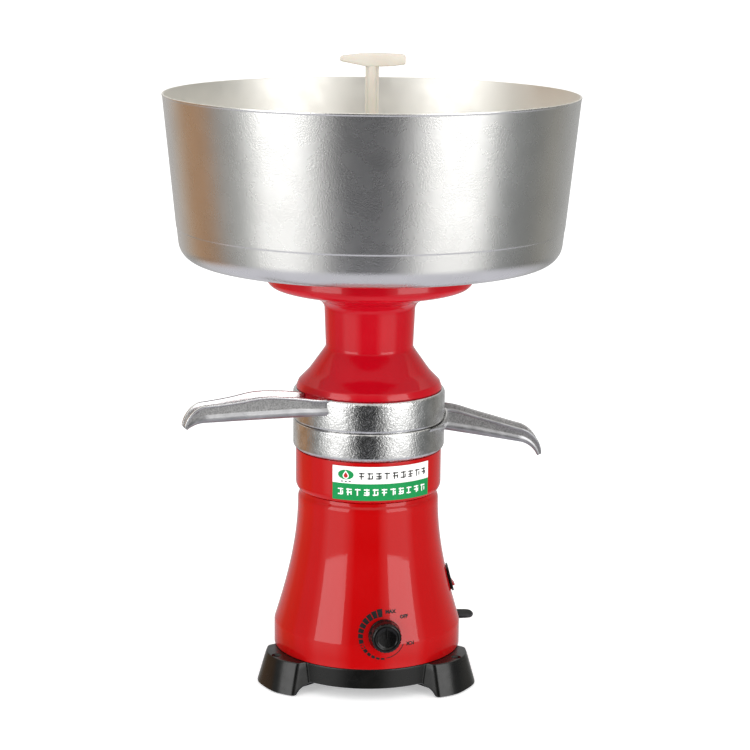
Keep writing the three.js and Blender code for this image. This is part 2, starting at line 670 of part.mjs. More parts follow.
function makeReceivers() {
  const skimSpout = {
    root: [53.9, 26.3], heading: 4, floor: 225.4, slope: 9.5, lead: 7, length: 82,
    halves: [14, 13, 9], heights: [19.6, 20.6, 18, 15.5, 13.1], droop: 56, beakRadius: 23.5,
  };
  const skimUnder = SKIM_FLOOR - RECEIVER_PLATE;
  const skimOutline = [
    [41, skimUnder], [58.4, skimUnder], [58.4, 207.5], [61.4, 207.5], [61.4, SKIM_BOTTOM],
    [66.2, SKIM_BOTTOM], [SKIM_R, SKIM_BOTTOM + 1.8], [SKIM_R, SKIM_TOP],
    [RECEIVER_INNER_R, SKIM_TOP], [RECEIVER_INNER_R, SKIM_FLOOR], [43.5, SKIM_FLOOR],
    [43.5, SKIM_FLOOR + 8], [41, SKIM_FLOOR + 8],
  ];
  const skimTop = bar(CREAM_R + 0.8, SKIM_TOP, 300, FINE);
  const skimMouth = mouth(skimSpout, SKIM_FLOOR + 0.6, SKIM_TOP + 5);
  add('skim_receiver', receiver(skimOutline, skimSpout, skimTop, skimMouth), CAST);

  const creamSpout = {
    root: [-48, -42.7], heading: 203.1, floor: 251.5, slope: 0, lead: 15, length: 103,
    halves: [18.5, 8.5, 4.8], heights: [15.4, 18.9, 20.8, 17.9, 16.3], droop: 36, beakRadius: 26,
  };
  const creamUnder = CREAM_FLOOR - RECEIVER_PLATE;
  const creamOutline = [
    [20, creamUnder], [60.8, creamUnder], [60.8, 233.5], [64, 233.5], [64, CREAM_BOTTOM],
    [67, CREAM_BOTTOM], [CREAM_R, CREAM_BOTTOM + 1], [CREAM_R, CREAM_TOP],
    [RECEIVER_INNER_R, CREAM_TOP], [RECEIVER_INNER_R, CREAM_FLOOR], [22, CREAM_FLOOR],
    [22, CREAM_FLOOR + 5.5], [20, CREAM_FLOOR + 5.5],
  ];
  const creamTop = bar(CREAM_R + 0.8, CREAM_TOP, 300, FINE);
  const creamMouth = mouth(creamSpout, CREAM_FLOOR + 0.3, CREAM_TOP + 5);
  add('cream_receiver', receiver(creamOutline, creamSpout, creamTop, creamMouth), CAST);
}

// ---------------------------------------------------------------- float chamber and float
function makeFloatChamber() {
  const wall = CHAMBER_WALL;
  add('float_chamber', revolve([
    [FEED_R - 2, 250], [FEED_R, 250], [FEED_R, 347.6], [NECK_R - 1, 347.6], [NECK_R - wall + 0.6, NECK_TOP - 6],
    [NECK_R - wall, CONE_TOP + 4], [CONE_R - wall - 4, 271], [CONE_R - wall - 1.4, 260],
    [CONE_R - 1.4, 260], [CONE_R - 1.4, FLOAT_CHAMBER_BOTTOM], [CONE_R, FLOAT_CHAMBER_BOTTOM + 0.8],
    [CONE_R - 0.1, 270.2], [62.3, 274.6], [55.8, 282], [42, 299.4], [NECK_R, 303.5], [NECK_R + 1.5, NECK_TOP], [48, 347.4],
    [65, 353.5], [80, 356], [88, 358.5], [DISH_R, 363], [DISH_R, DISH_TOP],
    [DISH_R - wall, DISH_TOP], [DISH_R - wall, 364.4], [86.6, 361.2], [79.4, 358.6], [64.6, 356],
    [46, 352], [FEED_R - 2, 350],
  ], FINE), RED_PLASTIC);
  add('float', revolve([
    [0, 357.8], [70, 357.8], [75.5, 360], [75.5, 364.6], [73, 366.4], [16, 366.4], [12, 364], [0, 364],
  ], MIDDLE), IVORY);
}

// ---------------------------------------------------------------- bowl and plug
function makeBowl() {
  const floor = BOWL_BOTTOM + BOWL_WALL;
  const centre = BOWL_BOTTOM + BOWL_CORNER_R;
  const outer = arc(BOWL_FOOT_R, centre, BOWL_CORNER_R, -90, -4, 4);
  const inner = arc(BOWL_FOOT_R, centre, BOWL_CORNER_R - BOWL_WALL, -4, -90, 4);
  add('milk_bowl', revolve([
    [OUTLET_R, 374], [13, 374], [13, BOWL_BOTTOM], ...outer,
    [BOWL_CREASE_R, BOWL_CREASE], [BOWL_RIM_R, BOWL_RIM], [BOWL_RIM_R - BOWL_WALL, BOWL_RIM],
    [BOWL_CREASE_R - BOWL_WALL, BOWL_CREASE], ...inner, [13, floor], [OUTLET_R, floor + 1],
  ], FINE), SPUN);
}

function makePlugHandle() {
  const stem = revolve([
    [0, 374.6], [6.4, 374.6], [7.4, 376], [7.4, 388], [STEM_R, 392], [STEM_R, HANDLE_BOTTOM + 1],
    [0, HANDLE_BOTTOM + 1],
  ], 20);
  const fins = block(-5.85, 5.85, -1.3, 1.3, 392, HANDLE_BOTTOM + 1);
  const half = HANDLE_LENGTH / 2;
  const side = [
    [half, HANDLE_BOTTOM + 2], [half, HANDLE_TOP - 1.6], [half - 2, HANDLE_TOP - 0.6],
    [6, HANDLE_TOP], [-10, HANDLE_TOP - 0.4], [-half + 2, HANDLE_TOP - 2.6], [-half, HANDLE_TOP - 4.4],
    [-half + 1, HANDLE_TOP - 6.8], [-10, HANDLE_BOTTOM + 1], [-5, HANDLE_BOTTOM], [5, HANDLE_BOTTOM],
  ];
  const stand = prism(side, -4.5, 4.5).rotateX(Math.PI / 2);
  add('bowl_plug', join(stem, fins, stand), IVORY);
}

makeBase();
makeBaseFittings();
makeHousing();
makeDial();
makeSwitch();
makeCord();
makePlug();
makeMotor();
makeRotor();
makeDrum();
makeDrumChamber();
makeReceivers();
makeFloatChamber();
makeBowl();
makePlugHandle();

export default group;
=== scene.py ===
import json
import math

import bmesh
import bpy
from mathutils import Matrix, Vector


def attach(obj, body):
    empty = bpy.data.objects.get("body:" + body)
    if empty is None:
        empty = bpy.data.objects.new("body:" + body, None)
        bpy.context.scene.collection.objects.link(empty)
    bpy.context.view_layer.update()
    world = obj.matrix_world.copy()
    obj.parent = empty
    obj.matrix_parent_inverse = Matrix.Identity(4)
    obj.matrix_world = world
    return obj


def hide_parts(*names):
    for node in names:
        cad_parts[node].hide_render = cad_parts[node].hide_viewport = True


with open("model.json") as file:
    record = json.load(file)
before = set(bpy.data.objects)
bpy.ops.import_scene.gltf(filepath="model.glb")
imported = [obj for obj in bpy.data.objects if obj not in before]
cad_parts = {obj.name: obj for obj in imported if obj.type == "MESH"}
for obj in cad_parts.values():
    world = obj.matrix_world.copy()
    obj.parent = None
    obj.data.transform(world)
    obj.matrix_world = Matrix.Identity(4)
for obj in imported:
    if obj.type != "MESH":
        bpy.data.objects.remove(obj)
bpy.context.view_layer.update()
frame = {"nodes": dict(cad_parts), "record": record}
scene = bpy.context.scene

# Every dimension below is in millimetres; meshes are scaled to metres when they are made.
# Bearings round the axis are in degrees from the front (-Y) towards the right (+X).
MM = 0.001

BASE_R = 83.5
BASE_BAND_BOTTOM = 11.0
BASE_TOP = 29.0
FOOT_BEARINGS = (60, 180, 300)
FOOT_CHAMFER = (16.5, 11.4)
FOOT_OUTER = (105.0, 98.0)
FOOT_HALF = (33.5, 29.5)
FOOT_BOTTOM = 0.8
FOOT_HOLE_AT = 93.0
PAD_AT = 75.0

HOUSING_BOTTOM = 29.3
HOUSING_BAND_R = 84.3
HOUSING_CREASE = 51.0
HOUSING_WAIST_R = 63.3
HOUSING_SHOULDER = 166.0
HOUSING_TOP = 173.85

COLLAR_R = 65.3
COLLAR_BOTTOM = 174.15
COLLAR_TOP = 211.7
LABEL_R = COLLAR_R + 0.3
LABEL_BEARING = 12.6
LABEL_SPAN = 81.4
LABEL_BOTTOM = 178.0
LABEL_TOP = 208.5

DIAL_BEARING = 10.75
DIAL_HEIGHT = 61.0
DIAL_FROM_AXIS = 83.5
DIAL_TILT = 3.0
SCALE_HEIGHT = 57.6
WALL_TILT = 15.3
KNOB_R = 14.5
KNOB_FACE = 14.8
PRINT_LIFT = 0.09

SWITCH_BEARING = 92.5
SWITCH_HEIGHT = 88.5
SWITCH_FROM_AXIS = 73.9
SWITCH_TILT = 14.6
GLAND_BEARING = 130.0
GLAND_HEIGHT = 37.5
GLAND_TILT = -10.0
GLAND_END = 24.0

CORD_R = 3.1
COIL_CENTRE = Vector((29.0, 157.0))
COIL_OUTER_R = 44.5
COIL_INNER_R = 19.0
COIL_LAST_R = 37.1
COIL_PITCH = 6.3
COIL_TURNED = 2655

SKIM_R = 67.8
SKIM_FLOOR = 225
SKIM_TOP = 237.85
CREAM_R = 68.0
CREAM_FLOOR = 252.4
CREAM_TOP = 266.0
RECEIVER_INNER_R = 64.5
FLAP_TOP = 244.3

NECK_R = 39.0
DISH_R = 92.0
DISH_TOP = 381.4
BOWL_BOTTOM = 381.9
BOWL_WALL = 1.5
BOWL_CORNER_R = 18
BOWL_FLAT_R = 151.3
BOWL_RIM = 527.5
BOWL_RIM_R = 182.5
PLUG_SHOULDER = 392
PLUG_TOP = 552


# ---------- placing
def around(radius, bearing, z=0.0):
    turn = math.radians(bearing)
    return Vector((radius * math.sin(turn), -radius * math.cos(turn), z))


def wall_frame(radius, bearing, z, tilt):
    """The placement of a fitting on the housing: its Z points out of the wall, its Y climbs it."""
    return (
        Matrix.Translation(around(radius, bearing, z))
        @ spin(bearing, "Z")
        @ spin(90 - tilt, "X")
    )


def housing_radius(z):
    if z <= HOUSING_CREASE:
        return HOUSING_BAND_R
    t = (z - HOUSING_CREASE) / (HOUSING_SHOULDER - HOUSING_CREASE)
    return HOUSING_WAIST_R + (HOUSING_BAND_R - HOUSING_WAIST_R) * (1 - t) ** 2.1 * (1 + 0.42 * t)


def spin(degrees, axis):
    return Matrix.Rotation(math.radians(degrees), 4, axis)


def blend(a, b, t):
    return a + (b - a) * t


def smoothstep(low, high, value):
    t = min(1.0, max(0.0, (value - low) / (high - low)))
    return t * t * (3 - 2 * t)


def arc(x, y, radius, degrees):
    """Points of a circle at the given angles."""
    turns = [math.radians(angle) for angle in degrees]
    return [(x + radius * math.cos(turn), y + radius * math.sin(turn)) for turn in turns]


def along_curve(points, i, t):
    """The point a part t of the way from point i to the next, on a smooth line through them all."""
    a, b, c, d = (points[max(0, min(len(points) - 1, i + k))] for k in (-1, 0, 1, 2))
    bend = 2 * a - 5 * b + 4 * c - d
    twist = 3 * b - a - 3 * c + d
    return 0.5 * (2 * b + (c - a) * t + bend * t**2 + twist * t**3)


DIAL = wall_frame(DIAL_FROM_AXIS, DIAL_BEARING, DIAL_HEIGHT, DIAL_TILT)
SWITCH = wall_frame(SWITCH_FROM_AXIS, SWITCH_BEARING, SWITCH_HEIGHT, SWITCH_TILT)
GLAND = wall_frame(HOUSING_BAND_R, GLAND_BEARING, GLAND_HEIGHT, GLAND_TILT)
LEAD_START = GLAND @ Vector((0, 0, GLAND_END))
PLUG_PLACE = (
    Matrix.Translation((-21.2, 159.2, 10.8))
    @ spin(225, "Z")
    @ spin(90, "Y")
    @ spin(90, "Z")
)


def in_metres(matrix):
    scaled = matrix.copy()
    scaled.translation = matrix.translation * MM
    return scaled


def add(name, data):
    """A new object in the scene."""
    made = bpy.data.objects.new(name, data)
    scene.collection.objects.link(made)
    return made


# ---------- camera, stage and light
def make_camera():
    """The photograph's view: from two metres in front, a little above, looking down."""
    looks_down = 12.03
    leans = 0.6
    data = bpy.data.cameras.new("camera")
    data.lens = 109.8
    data.sensor_width = 36.0
    camera = add("camera", data)
    camera.location = (0.0052, -2.0, 0.703)
    pitch = spin(90 - looks_down, "X")
    roll = spin(leans, "Z")
    camera.rotation_euler = (pitch @ roll).to_euler()
    scene.camera = camera


def feed(tree, socket, value):
    """Links a socket to another node's output, or sets its number, vector or colour."""
    if isinstance(value, bpy.types.NodeSocket):
        tree.links.new(value, socket)
    else:
        socket.default_value = (*value, 1) if socket.type == "RGBA" else value


def set_inputs(tree, node, inputs):
    """An underscore in a name stands for a space."""
    for name, value in inputs.items():
        feed(tree, node.inputs[name.replace("_", " ")], value)


def add_node(tree, kind, **inputs):
    node = tree.nodes.new("ShaderNode" + kind)
    set_inputs(tree, node, inputs)
    return node


def mixed(tree, factor, first, second):
    """A colour between two others."""
    node = add_node(tree, "Mix", Factor=factor)
    node.data_type = "RGBA"
    feed(tree, node.inputs[6], first)
    feed(tree, node.inputs[7], second)
    return node.outputs[2]


def make_world():
    """An even white surround, in which shiny surfaces mirror a studio: dark towards the front, a
    warm wall at the left, grey paper behind, a bright strip at each softbox, a white ceiling and,
    under a dark skirting, a pale table. The stops give its colour at bearings in degrees."""
    world = bpy.data.worlds.new("studio")
    scene.world = world
    world.use_nodes = True
    tree = world.node_tree
    tree.nodes.clear()

    def math_node(operation, *values, clamp=False):
        node = add_node(tree, "Math")
        node.operation = operation
        node.use_clamp = clamp
        for socket, value in zip(node.inputs, values):
            feed(tree, socket, value)
        return node.outputs[0]

    x, y, z = add_node(tree, "SeparateXYZ", Vector=add_node(tree, "TexCoord").outputs["Generated"]).outputs
    bearing = math_node("ARCTAN2", x, math_node("MULTIPLY", y, -1.0))
    turn = math_node("MULTIPLY_ADD", bearing, 1 / (2 * math.pi), 0.5)
    ramp = add_node(tree, "ValToRGB", Fac=turn)
    dark = (0.03, 0.031, 0.031)
    warm = (0.43, 0.25, 0.135)
    lit = (1.2, 1.2, 1.18)
    behind = (0.62, 0.62, 0.62)
    ceiling = (1.3, 1.27, 1.19)
    table = (0.64, 0.64, 0.70)
    stops = [
        (-180, behind), (-150, (0.5, 0.49, 0.48)), (-134, (0.50, 0.40, 0.31)), (-126, warm), (-104, warm),
        (-96, (0.32, 0.32, 0.31)), (-78, (0.38, 0.39, 0.38)), (-64, lit), (-40, lit), (-19, dark),
        (16, dark), (35, lit), (64, lit), (78, (0.27, 0.28, 0.28)), (104, (0.2, 0.205, 0.2)),
        (122, (0.3, 0.29, 0.26)), (138, (0.36, 0.36, 0.35)), (180, behind),
    ]
    elements = ramp.color_ramp.elements
    while len(elements) < len(stops):
        elements.new(0.5)
    for element, (degrees, colour) in zip(elements, stops):
        element.position = (degrees + 180) / 360
        element.color = (*colour, 1)
    lift = math_node("MULTIPLY_ADD", z, 3.2, -1.35, clamp=True)
    drop = math_node("MULTIPLY_ADD", z, -5.0, -2.1, clamp=True)
    gap = math_node("ABSOLUTE", math_node("ADD", z, 0.38))
    skirting = math_node("MULTIPLY_ADD", gap, -6.0, 0.5, clamp=True)
    walls = mixed(tree, lift, ramp.outputs[0], ceiling)
    surround = mixed(tree, drop, mixed(tree, skirting, walls, dark), table)
    path = add_node(tree, "LightPath").outputs
    soft = mixed(tree, path["Is Diffuse Ray"], (1.0, 1.0, 1.0), (0.88, 0.88, 0.88))
    seen = mixed(tree, path["Is Glossy Ray"], soft, surround)
    background = add_node(tree, "Background", Color=seen, Strength=1.0)
    add_node(tree, "OutputWorld", Surface=background.outputs[0])


def make_softbox(name, bearing, watts):
    """A tall softbox that reaches down to the floor's level. Its sizes are in metres."""
    width, tall = 1.58, 1.6
    distance, height = 2.5, 0.86
    data = bpy.data.lights.new(name, "AREA")
    data.shape = "RECTANGLE"
    data.size = width
    data.size_y = tall
    data.energy = watts
    light = add(name, data)
    light.location = around(distance, bearing, height)
    aim = -around(distance, bearing)
    light.rotation_euler = aim.to_track_quat("-Z", "Y").to_euler()


def make_floor():
    """White paper that shows no reflection of itself in the metal. Its half width is in metres."""
    half = 40.0
    mesh = bpy.data.meshes.new("floor")
    corners = [(-half, -half, 0), (half, -half, 0), (half, half, 0), (-half, half, 0)]
    mesh.from_pydata(corners, [], [(0, 1, 2, 3)])
    floor = add("floor", mesh)
    floor.visible_glossy = False
    finish = Finish("floor_paper", (0.95, 0.95, 0.95), 0.9)
    finish.shade("Base Color", finish.noise(3, 2), (0.95, 0.95, 0.95), (0.97, 0.97, 0.97))
    finish.value(Specular_IOR_Level=0.0, Emission_Strength=0.4, Emission_Color=(1, 1, 1))
    mesh.materials.append(finish.material)


# ---------- finishes
class Finish:
    """A principled material whose colour, roughness and relief vary over the object."""

    def __init__(self, name, colour, roughness, metallic=0.0):
        self.material = bpy.data.materials.new(name)
        self.material.use_nodes = True
        self.tree = self.material.node_tree
        self.shader = self.tree.nodes["Principled BSDF"]
        self.value(Base_Color=colour, Roughness=roughness, Metallic=metallic)
        self.place = add_node(self.tree, "TexCoord").outputs["Object"]
        self.relief = None

    def value(self, **inputs):
        set_inputs(self.tree, self.shader, inputs)

    def noise(self, cells, detail=2.0, stretch=(1, 1, 1), distortion=0.0):
        """Noise with a number of cells per metre, along each axis times the stretch."""
        place = add_node(self.tree, "Mapping", Scale=stretch, Vector=self.place).outputs[0]
        inputs = {"Scale": cells, "Detail": detail, "Distortion": distortion, "Vector": place}
        return add_node(self.tree, "TexNoise", **inputs).outputs["Fac"]

    def shade(self, socket, noise, first, second):
        """Lets the middle of a noise's range drive a socket between two colours or two numbers."""
        low, high = 0.3, 0.7
        colours = isinstance(first, tuple)
        start, end = (0.0, 1.0) if colours else (first, second)
        ramp = add_node(
            self.tree, "MapRange", From_Min=low, From_Max=high, To_Min=start, To_Max=end, Value=noise,
        ).outputs["Result"]
        self.value(**{socket: mixed(self.tree, ramp, first, second) if colours else ramp})

    def bump(self, height, strength, depth):
        """Relief of a depth in millimetres, on top of any made before."""
        node = add_node(self.tree, "Bump", Strength=strength, Distance=depth * MM, Height=height)
        if self.relief:
            feed(self.tree, node.inputs["Normal"], self.relief)
        self.relief = node.outputs["Normal"]
        self.value(Normal=self.relief)

    def round_grain(self, amount):
        """Reflections stretched across the marks of turning about Z."""
        tangent = add_node(self.tree, "Tangent")
        tangent.direction_type = "RADIAL"
        tangent.axis = "Z"
        self.value(Tangent=tangent.outputs[0], Anisotropic=amount, Anisotropic_Rotation=0.25)


def make_finishes():
    """The materials by name. A tint or a gloss is its noise and the colours or roughnesses between
    which that noise drives it, and a bump is its noise, its strength and its depth in millimetres."""
    made = {}

    def finish(name, colour, rough, metal=0.0, tint=None, gloss=None, bumps=(), grain=None, **values):
        new = Finish(name, colour, rough, metal)
        for socket, drive in (("Base Color", tint), ("Roughness", gloss)):
            if drive:
                noise, first, second = drive
                new.shade(socket, new.noise(*noise), first, second)
        for noise, strength, depth in bumps:
            new.bump(new.noise(*noise), strength, depth)
        if grain:
            new.round_grain(grain)
        new.value(**values)
        made[name] = new.material

    finish("red_paint", (0.43, 0.002, 0.003), 0.06, IOR=1.41,
           tint=((9, 3), (0.41, 0.0015, 0.002), (0.45, 0.003, 0.004)),
           gloss=((38, 4), 0.04, 0.085), bumps=[((260, 1), 0.08, 0.12)])
    finish("red_plastic", (0.46, 0.002, 0.009), 0.11, IOR=1.41,
           tint=((14, 3), (0.44, 0.0015, 0.008), (0.48, 0.003, 0.011)),
           gloss=((70, 4), 0.08, 0.14), bumps=[((420, 2), 0.10, 0.10)])
    finish("cast_skin", (0.30, 0.30, 0.30), 0.5, 0.85,
           tint=((760, 4), (0.21, 0.208, 0.207), (0.40, 0.397, 0.395)),
           gloss=((160, 4), 0.42, 0.62), bumps=[((620, 5), 0.55, 0.35)])
    finish("cast_dressed", (0.78, 0.78, 0.79), 0.25, 1.0,
           tint=((90, 5), (0.56, 0.56, 0.57), (0.72, 0.72, 0.72)),
           gloss=((240, 5), 0.2, 0.36), bumps=[((330, 3), 0.28, 0.2)])
    # The darker bead casting: painted shade for the downward-facing beads, darker and rougher than the
    # dressed metal; the skim spout's rims take it as well.
    finish("cast_bead_painted_shade", (0.38, 0.38, 0.39), 0.36, 0.9,
           tint=((120, 4), (0.32, 0.32, 0.33), (0.45, 0.45, 0.46)),
           gloss=((240, 4), 0.3, 0.44), bumps=[((420, 3), 0.22, 0.2)])
    finish("cast_turned", (0.70, 0.70, 0.70), 0.2, 1.0, grain=0.45,
           tint=((120, 6), (0.58, 0.58, 0.575), (0.80, 0.80, 0.80)),
           gloss=((210, 5), 0.13, 0.27),
           bumps=[((190, 3, (1, 1, 1), 0.6), 0.36, 0.45), ((640, 4), 0.8, 0.36),
                  ((2600, 2, (0.04, 0.04, 1)), 0.12, 0.05)])
    finish("spun_skin", (0.80, 0.79, 0.77), 0.3, 1.0, grain=0.3,
           tint=((26, 4), (0.76, 0.755, 0.74), (0.83, 0.825, 0.81)),
           gloss=((60, 5), 0.26, 0.285),
           bumps=[((22, 2), 0.03, 0.9), ((780, 4), 0.5, 0.2), ((1500, 2, (0.05, 0.05, 1)), 0.08, 0.05)])
    finish("spun_inside", (0.82, 0.80, 0.76), 0.5, 1.0,
           tint=((18, 3), (0.81, 0.795, 0.755), (0.84, 0.825, 0.785)),
           gloss=((80, 4), 0.44, 0.52), bumps=[((1300, 2, (0.06, 0.06, 1)), 0.12, 0.06)])
    finish("base_black", (0.004, 0.004, 0.004), 0.24, IOR=1.42,
           tint=((40, 4), (0.003, 0.003, 0.003), (0.006, 0.006, 0.0055)),
           gloss=((130, 4), 0.19, 0.29), bumps=[((900, 3), 0.12, 0.08)])
    finish("knob_gloss", (0.003, 0.003, 0.003), 0.08, IOR=1.33,
           gloss=((160, 4), 0.03, 0.08), bumps=[((190, 2), 0.45, 0.5)])
    finish("ivory", (0.76, 0.70, 0.61), 0.4, Subsurface_Weight=0.12, Subsurface_Scale=0.004,
           tint=((40, 4), (0.71, 0.655, 0.56), (0.79, 0.735, 0.65)),
           gloss=((190, 3), 0.34, 0.48), bumps=[((700, 2), 0.08, 0.08)])
    finish("rubber", (0.016, 0.016, 0.017), 0.6, IOR=1.3,
           tint=((70, 4), (0.012, 0.012, 0.013), (0.026, 0.026, 0.026)),
           gloss=((300, 3), 0.5, 0.72), bumps=[((900, 3), 0.15, 0.1)])
    finish("steel", (0.56, 0.57, 0.58), 0.28, 1.0,
           tint=((80, 5), (0.50, 0.51, 0.52), (0.64, 0.645, 0.65)),
           gloss=((400, 4, (0.2, 0.2, 1)), 0.2, 0.36), bumps=[((1800, 2, (0.05, 0.05, 1)), 0.1, 0.05)])
    finish("pin_metal", (0.70, 0.68, 0.62), 0.22, 1.0,
           gloss=((500, 3), 0.16, 0.3), bumps=[((1200, 2), 0.06, 0.05)])
    finish("copper", (0.60, 0.26, 0.12), 0.35, 1.0,
           tint=((60, 3), (0.52, 0.20, 0.09), (0.68, 0.32, 0.16)),
           bumps=[((2400, 1, (0.1, 0.1, 1)), 0.5, 0.3)])
    finish("board", (0.012, 0.09, 0.04), 0.5,
           tint=((200, 2), (0.010, 0.07, 0.03), (0.016, 0.12, 0.05)),
           bumps=[((600, 2), 0.2, 0.1)])
    finish("rocker_red", (0.34, 0.006, 0.010), 0.16,
           tint=((90, 2), (0.30, 0.005, 0.008), (0.40, 0.008, 0.012)),
           gloss=((260, 3), 0.12, 0.22))
    inks = {
        "print_black": (0.012, 0.012, 0.012), "print_white": (0.86, 0.86, 0.84),
        "print_green": (0.004, 0.24, 0.062), "print_red": (0.42, 0.014, 0.012),
    }
    for name, colour in inks.items():
        paler = tuple(min(1.0, channel * 1.08 + 0.004) for channel in colour)
        finish(name, colour, 0.4, tint=((160, 4), colour, paler), gloss=((300, 3), 0.34, 0.5), IOR=1.25)
    return made


# ---------- mesh helpers
def mesh_piece(name, points, faces, *materials, choose=None, sharp=35.0, matrix=None):
    """A piece from points in millimetres. choose gives a face's material from its centre and normal."""
    mesh = bpy.data.meshes.new(name)
    mesh.from_pydata([Vector(point) * MM for point in points], [], faces)
    work = bmesh.new()
    work.from_mesh(mesh)
    bmesh.ops.remove_doubles(work, verts=work.verts, dist=1e-7)
    bmesh.ops.recalc_face_normals(work, faces=work.faces)
    work.to_mesh(mesh)
    work.free()
    for material in materials:
        mesh.materials.append(material)
    if choose:
        for polygon in mesh.polygons:
            polygon.material_index = choose(polygon.center / MM, polygon.normal)
    if matrix:
        mesh.transform(in_metres(matrix))
    piece = add(name, mesh)
    soften(piece, sharp)
    return piece


def soften(piece, sharp=35.0):
    """Smooth shading, but for edges sharper than an angle in degrees."""
    piece.data.shade_smooth()
    piece.data.set_sharp_from_angle(angle=math.radians(sharp))


def carve(piece, operation, *tools, sharp=35.0):
    """Joins or cuts a piece with tools, which are used up."""
    for tool in tools:
        modifier = piece.modifiers.new("carve", "BOOLEAN")
        modifier.operation = operation
        modifier.solver = "EXACT"
        modifier.object = tool
    graph = bpy.context.evaluated_depsgraph_get()
    made = bpy.data.meshes.new_from_object(piece.evaluated_get(graph))
    piece.modifiers.clear()
    piece.data = made
    for tool in tools:
        bpy.data.objects.remove(tool)
    soften(piece, sharp)
    return piece


def merge(name, *pieces):
    """One object from several."""
    work = bmesh.new()
    materials = []
    for piece in pieces:
        own = []
        for material in piece.data.materials:
            if material not in materials:
                materials.append(material)
            own.append(materials.index(material))
        first = len(work.faces)
        work.from_mesh(piece.data)
        work.faces.ensure_lookup_table()
        for face in work.faces[first:]:
            face.material_index = own[face.material_index] if own else 0
    mesh = bpy.data.meshes.new(name)
    work.to_mesh(mesh)
    work.free()
    for piece in pieces:
        bpy.data.objects.remove(piece)
    for material in materials:
        mesh.materials.append(material)
    return add(name, mesh)


def rounded(points, steps=5, closed=True):
    """An outline whose corners are rounded: a point is (r, z) or (r, z, size of the rounding)."""
    out = []
    for i, point in enumerate(points):
        here = Vector(point[:2])
        size = point[2] if len(point) > 2 else 0.0
        inner = closed or 0 < i < len(points) - 1
        if size <= 0 or not inner:
            out.append(here)
            continue
        to_last = Vector(points[i - 1][:2]) - here
        to_next = Vector(points[(i + 1) % len(points)][:2]) - here
        reach = min(size, 0.48 * to_last.length, 0.48 * to_next.length)
        first = here + to_last.normalized() * reach
        last = here + to_next.normalized() * reach
        for step in range(steps + 1):
            t = step / steps
            out.append(first * (1 - t) ** 2 + here * 2 * t * (1 - t) + last * t**2)
    return out


def revolve(name, outline, segments, *materials, **options):
    """A body of revolution about Z. The outline closes on itself, or starts and ends on the axis."""
    on_axis = outline[0][0] == 0 and outline[-1][0] == 0
    profile = rounded(outline, closed=not on_axis)
    points, rings = [], []
    for r, z in profile:
        count = segments if r > 1e-6 else 1
        rings.append([len(points) + k for k in range(count)])
        points += [around(r, 360 * k / segments, z) for k in range(count)]
    faces = []
    for low, high in zip(rings, rings[1:] + ([] if on_axis else rings[:1])):
        for k in range(segments):
            near = [low[k % len(low)], low[(k + 1) % len(low)]]
            far = [high[(k + 1) % len(high)], high[k % len(high)]]
            face = list(dict.fromkeys(near + far))
            if len(face) > 2:
                faces.append(face)
    return mesh_piece(name, points, faces, *materials, **options)


def skin(count, sections, closed=False):
    """Faces between neighbouring sections, each a closed loop of count points. Closed joins the
    last section to the first."""
    faces = []
    for s in range(sections if closed else sections - 1):
        near, far = s * count, (s + 1) % sections * count
        for i in range(count):
            j = (i + 1) % count
            faces.append([near + i, near + j, far + j, far + i])
    return faces


def loft(name, sections, *materials, **options):
    """A body through closed sections with equal numbers of points, capped at both ends."""
    count = len(sections[0])
    points = [point for section in sections for point in section]
    caps = [list(range(count)), list(range(len(points) - count, len(points)))]
    return mesh_piece(name, points, caps + skin(count, len(sections)), *materials, **options)


def bevelled(piece, size, segments=3, sharp=35.0):
    """Rounds every hard edge of a piece."""
    work = bmesh.new()
    work.from_mesh(piece.data)
    hard = 0.5
    edges = [edge for edge in work.edges if len(edge.link_faces) == 2 and edge.calc_face_angle() > hard]
    bmesh.ops.bevel(work, geom=edges, offset=size * MM, segments=segments, affect="EDGES", profile=0.5,
                    clamp_overlap=True)
    work.to_mesh(piece.data)
    work.free()
    soften(piece, sharp)
    return piece


def block(name, x, y, z, *materials, round_by=0.0, matrix=None):
    """A box from pairs of limits."""
    points = [(x[i], y[j], z[k]) for i in (0, 1) for j in (0, 1) for k in (0, 1)]
    faces = [(0, 1, 3, 2), (4, 6, 7, 5), (0, 4, 5, 1), (2, 3, 7, 6), (0, 2, 6, 4), (1, 5, 7, 3)]
    piece = mesh_piece(name, points, faces, *materials, matrix=matrix)
    return bevelled(piece, round_by) if round_by else piece


def prism(name, outline, z0, z1, *materials, round_by=0.0, matrix=None):
    sections = [[(x, y, z) for x, y in outline] for z in (z0, z1)]
    piece = loft(name, sections, *materials, matrix=matrix)
    return bevelled(piece, round_by) if round_by else piece


def cylinder(name, radius, z0, z1, segments=48, matrix=None, material=None):
    outline = [(0, z0), (radius, z0), (radius, z1), (0, z1)]
    return revolve(name, outline, segments, *([material] if material else []), matrix=matrix)


def settle(piece, body, slot, *nodes):
    """Gives a piece its body and hides the CAD nodes that it stands in for. The slot is not used."""
    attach(piece, body)
    if nodes:
        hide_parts(*nodes)
    return piece


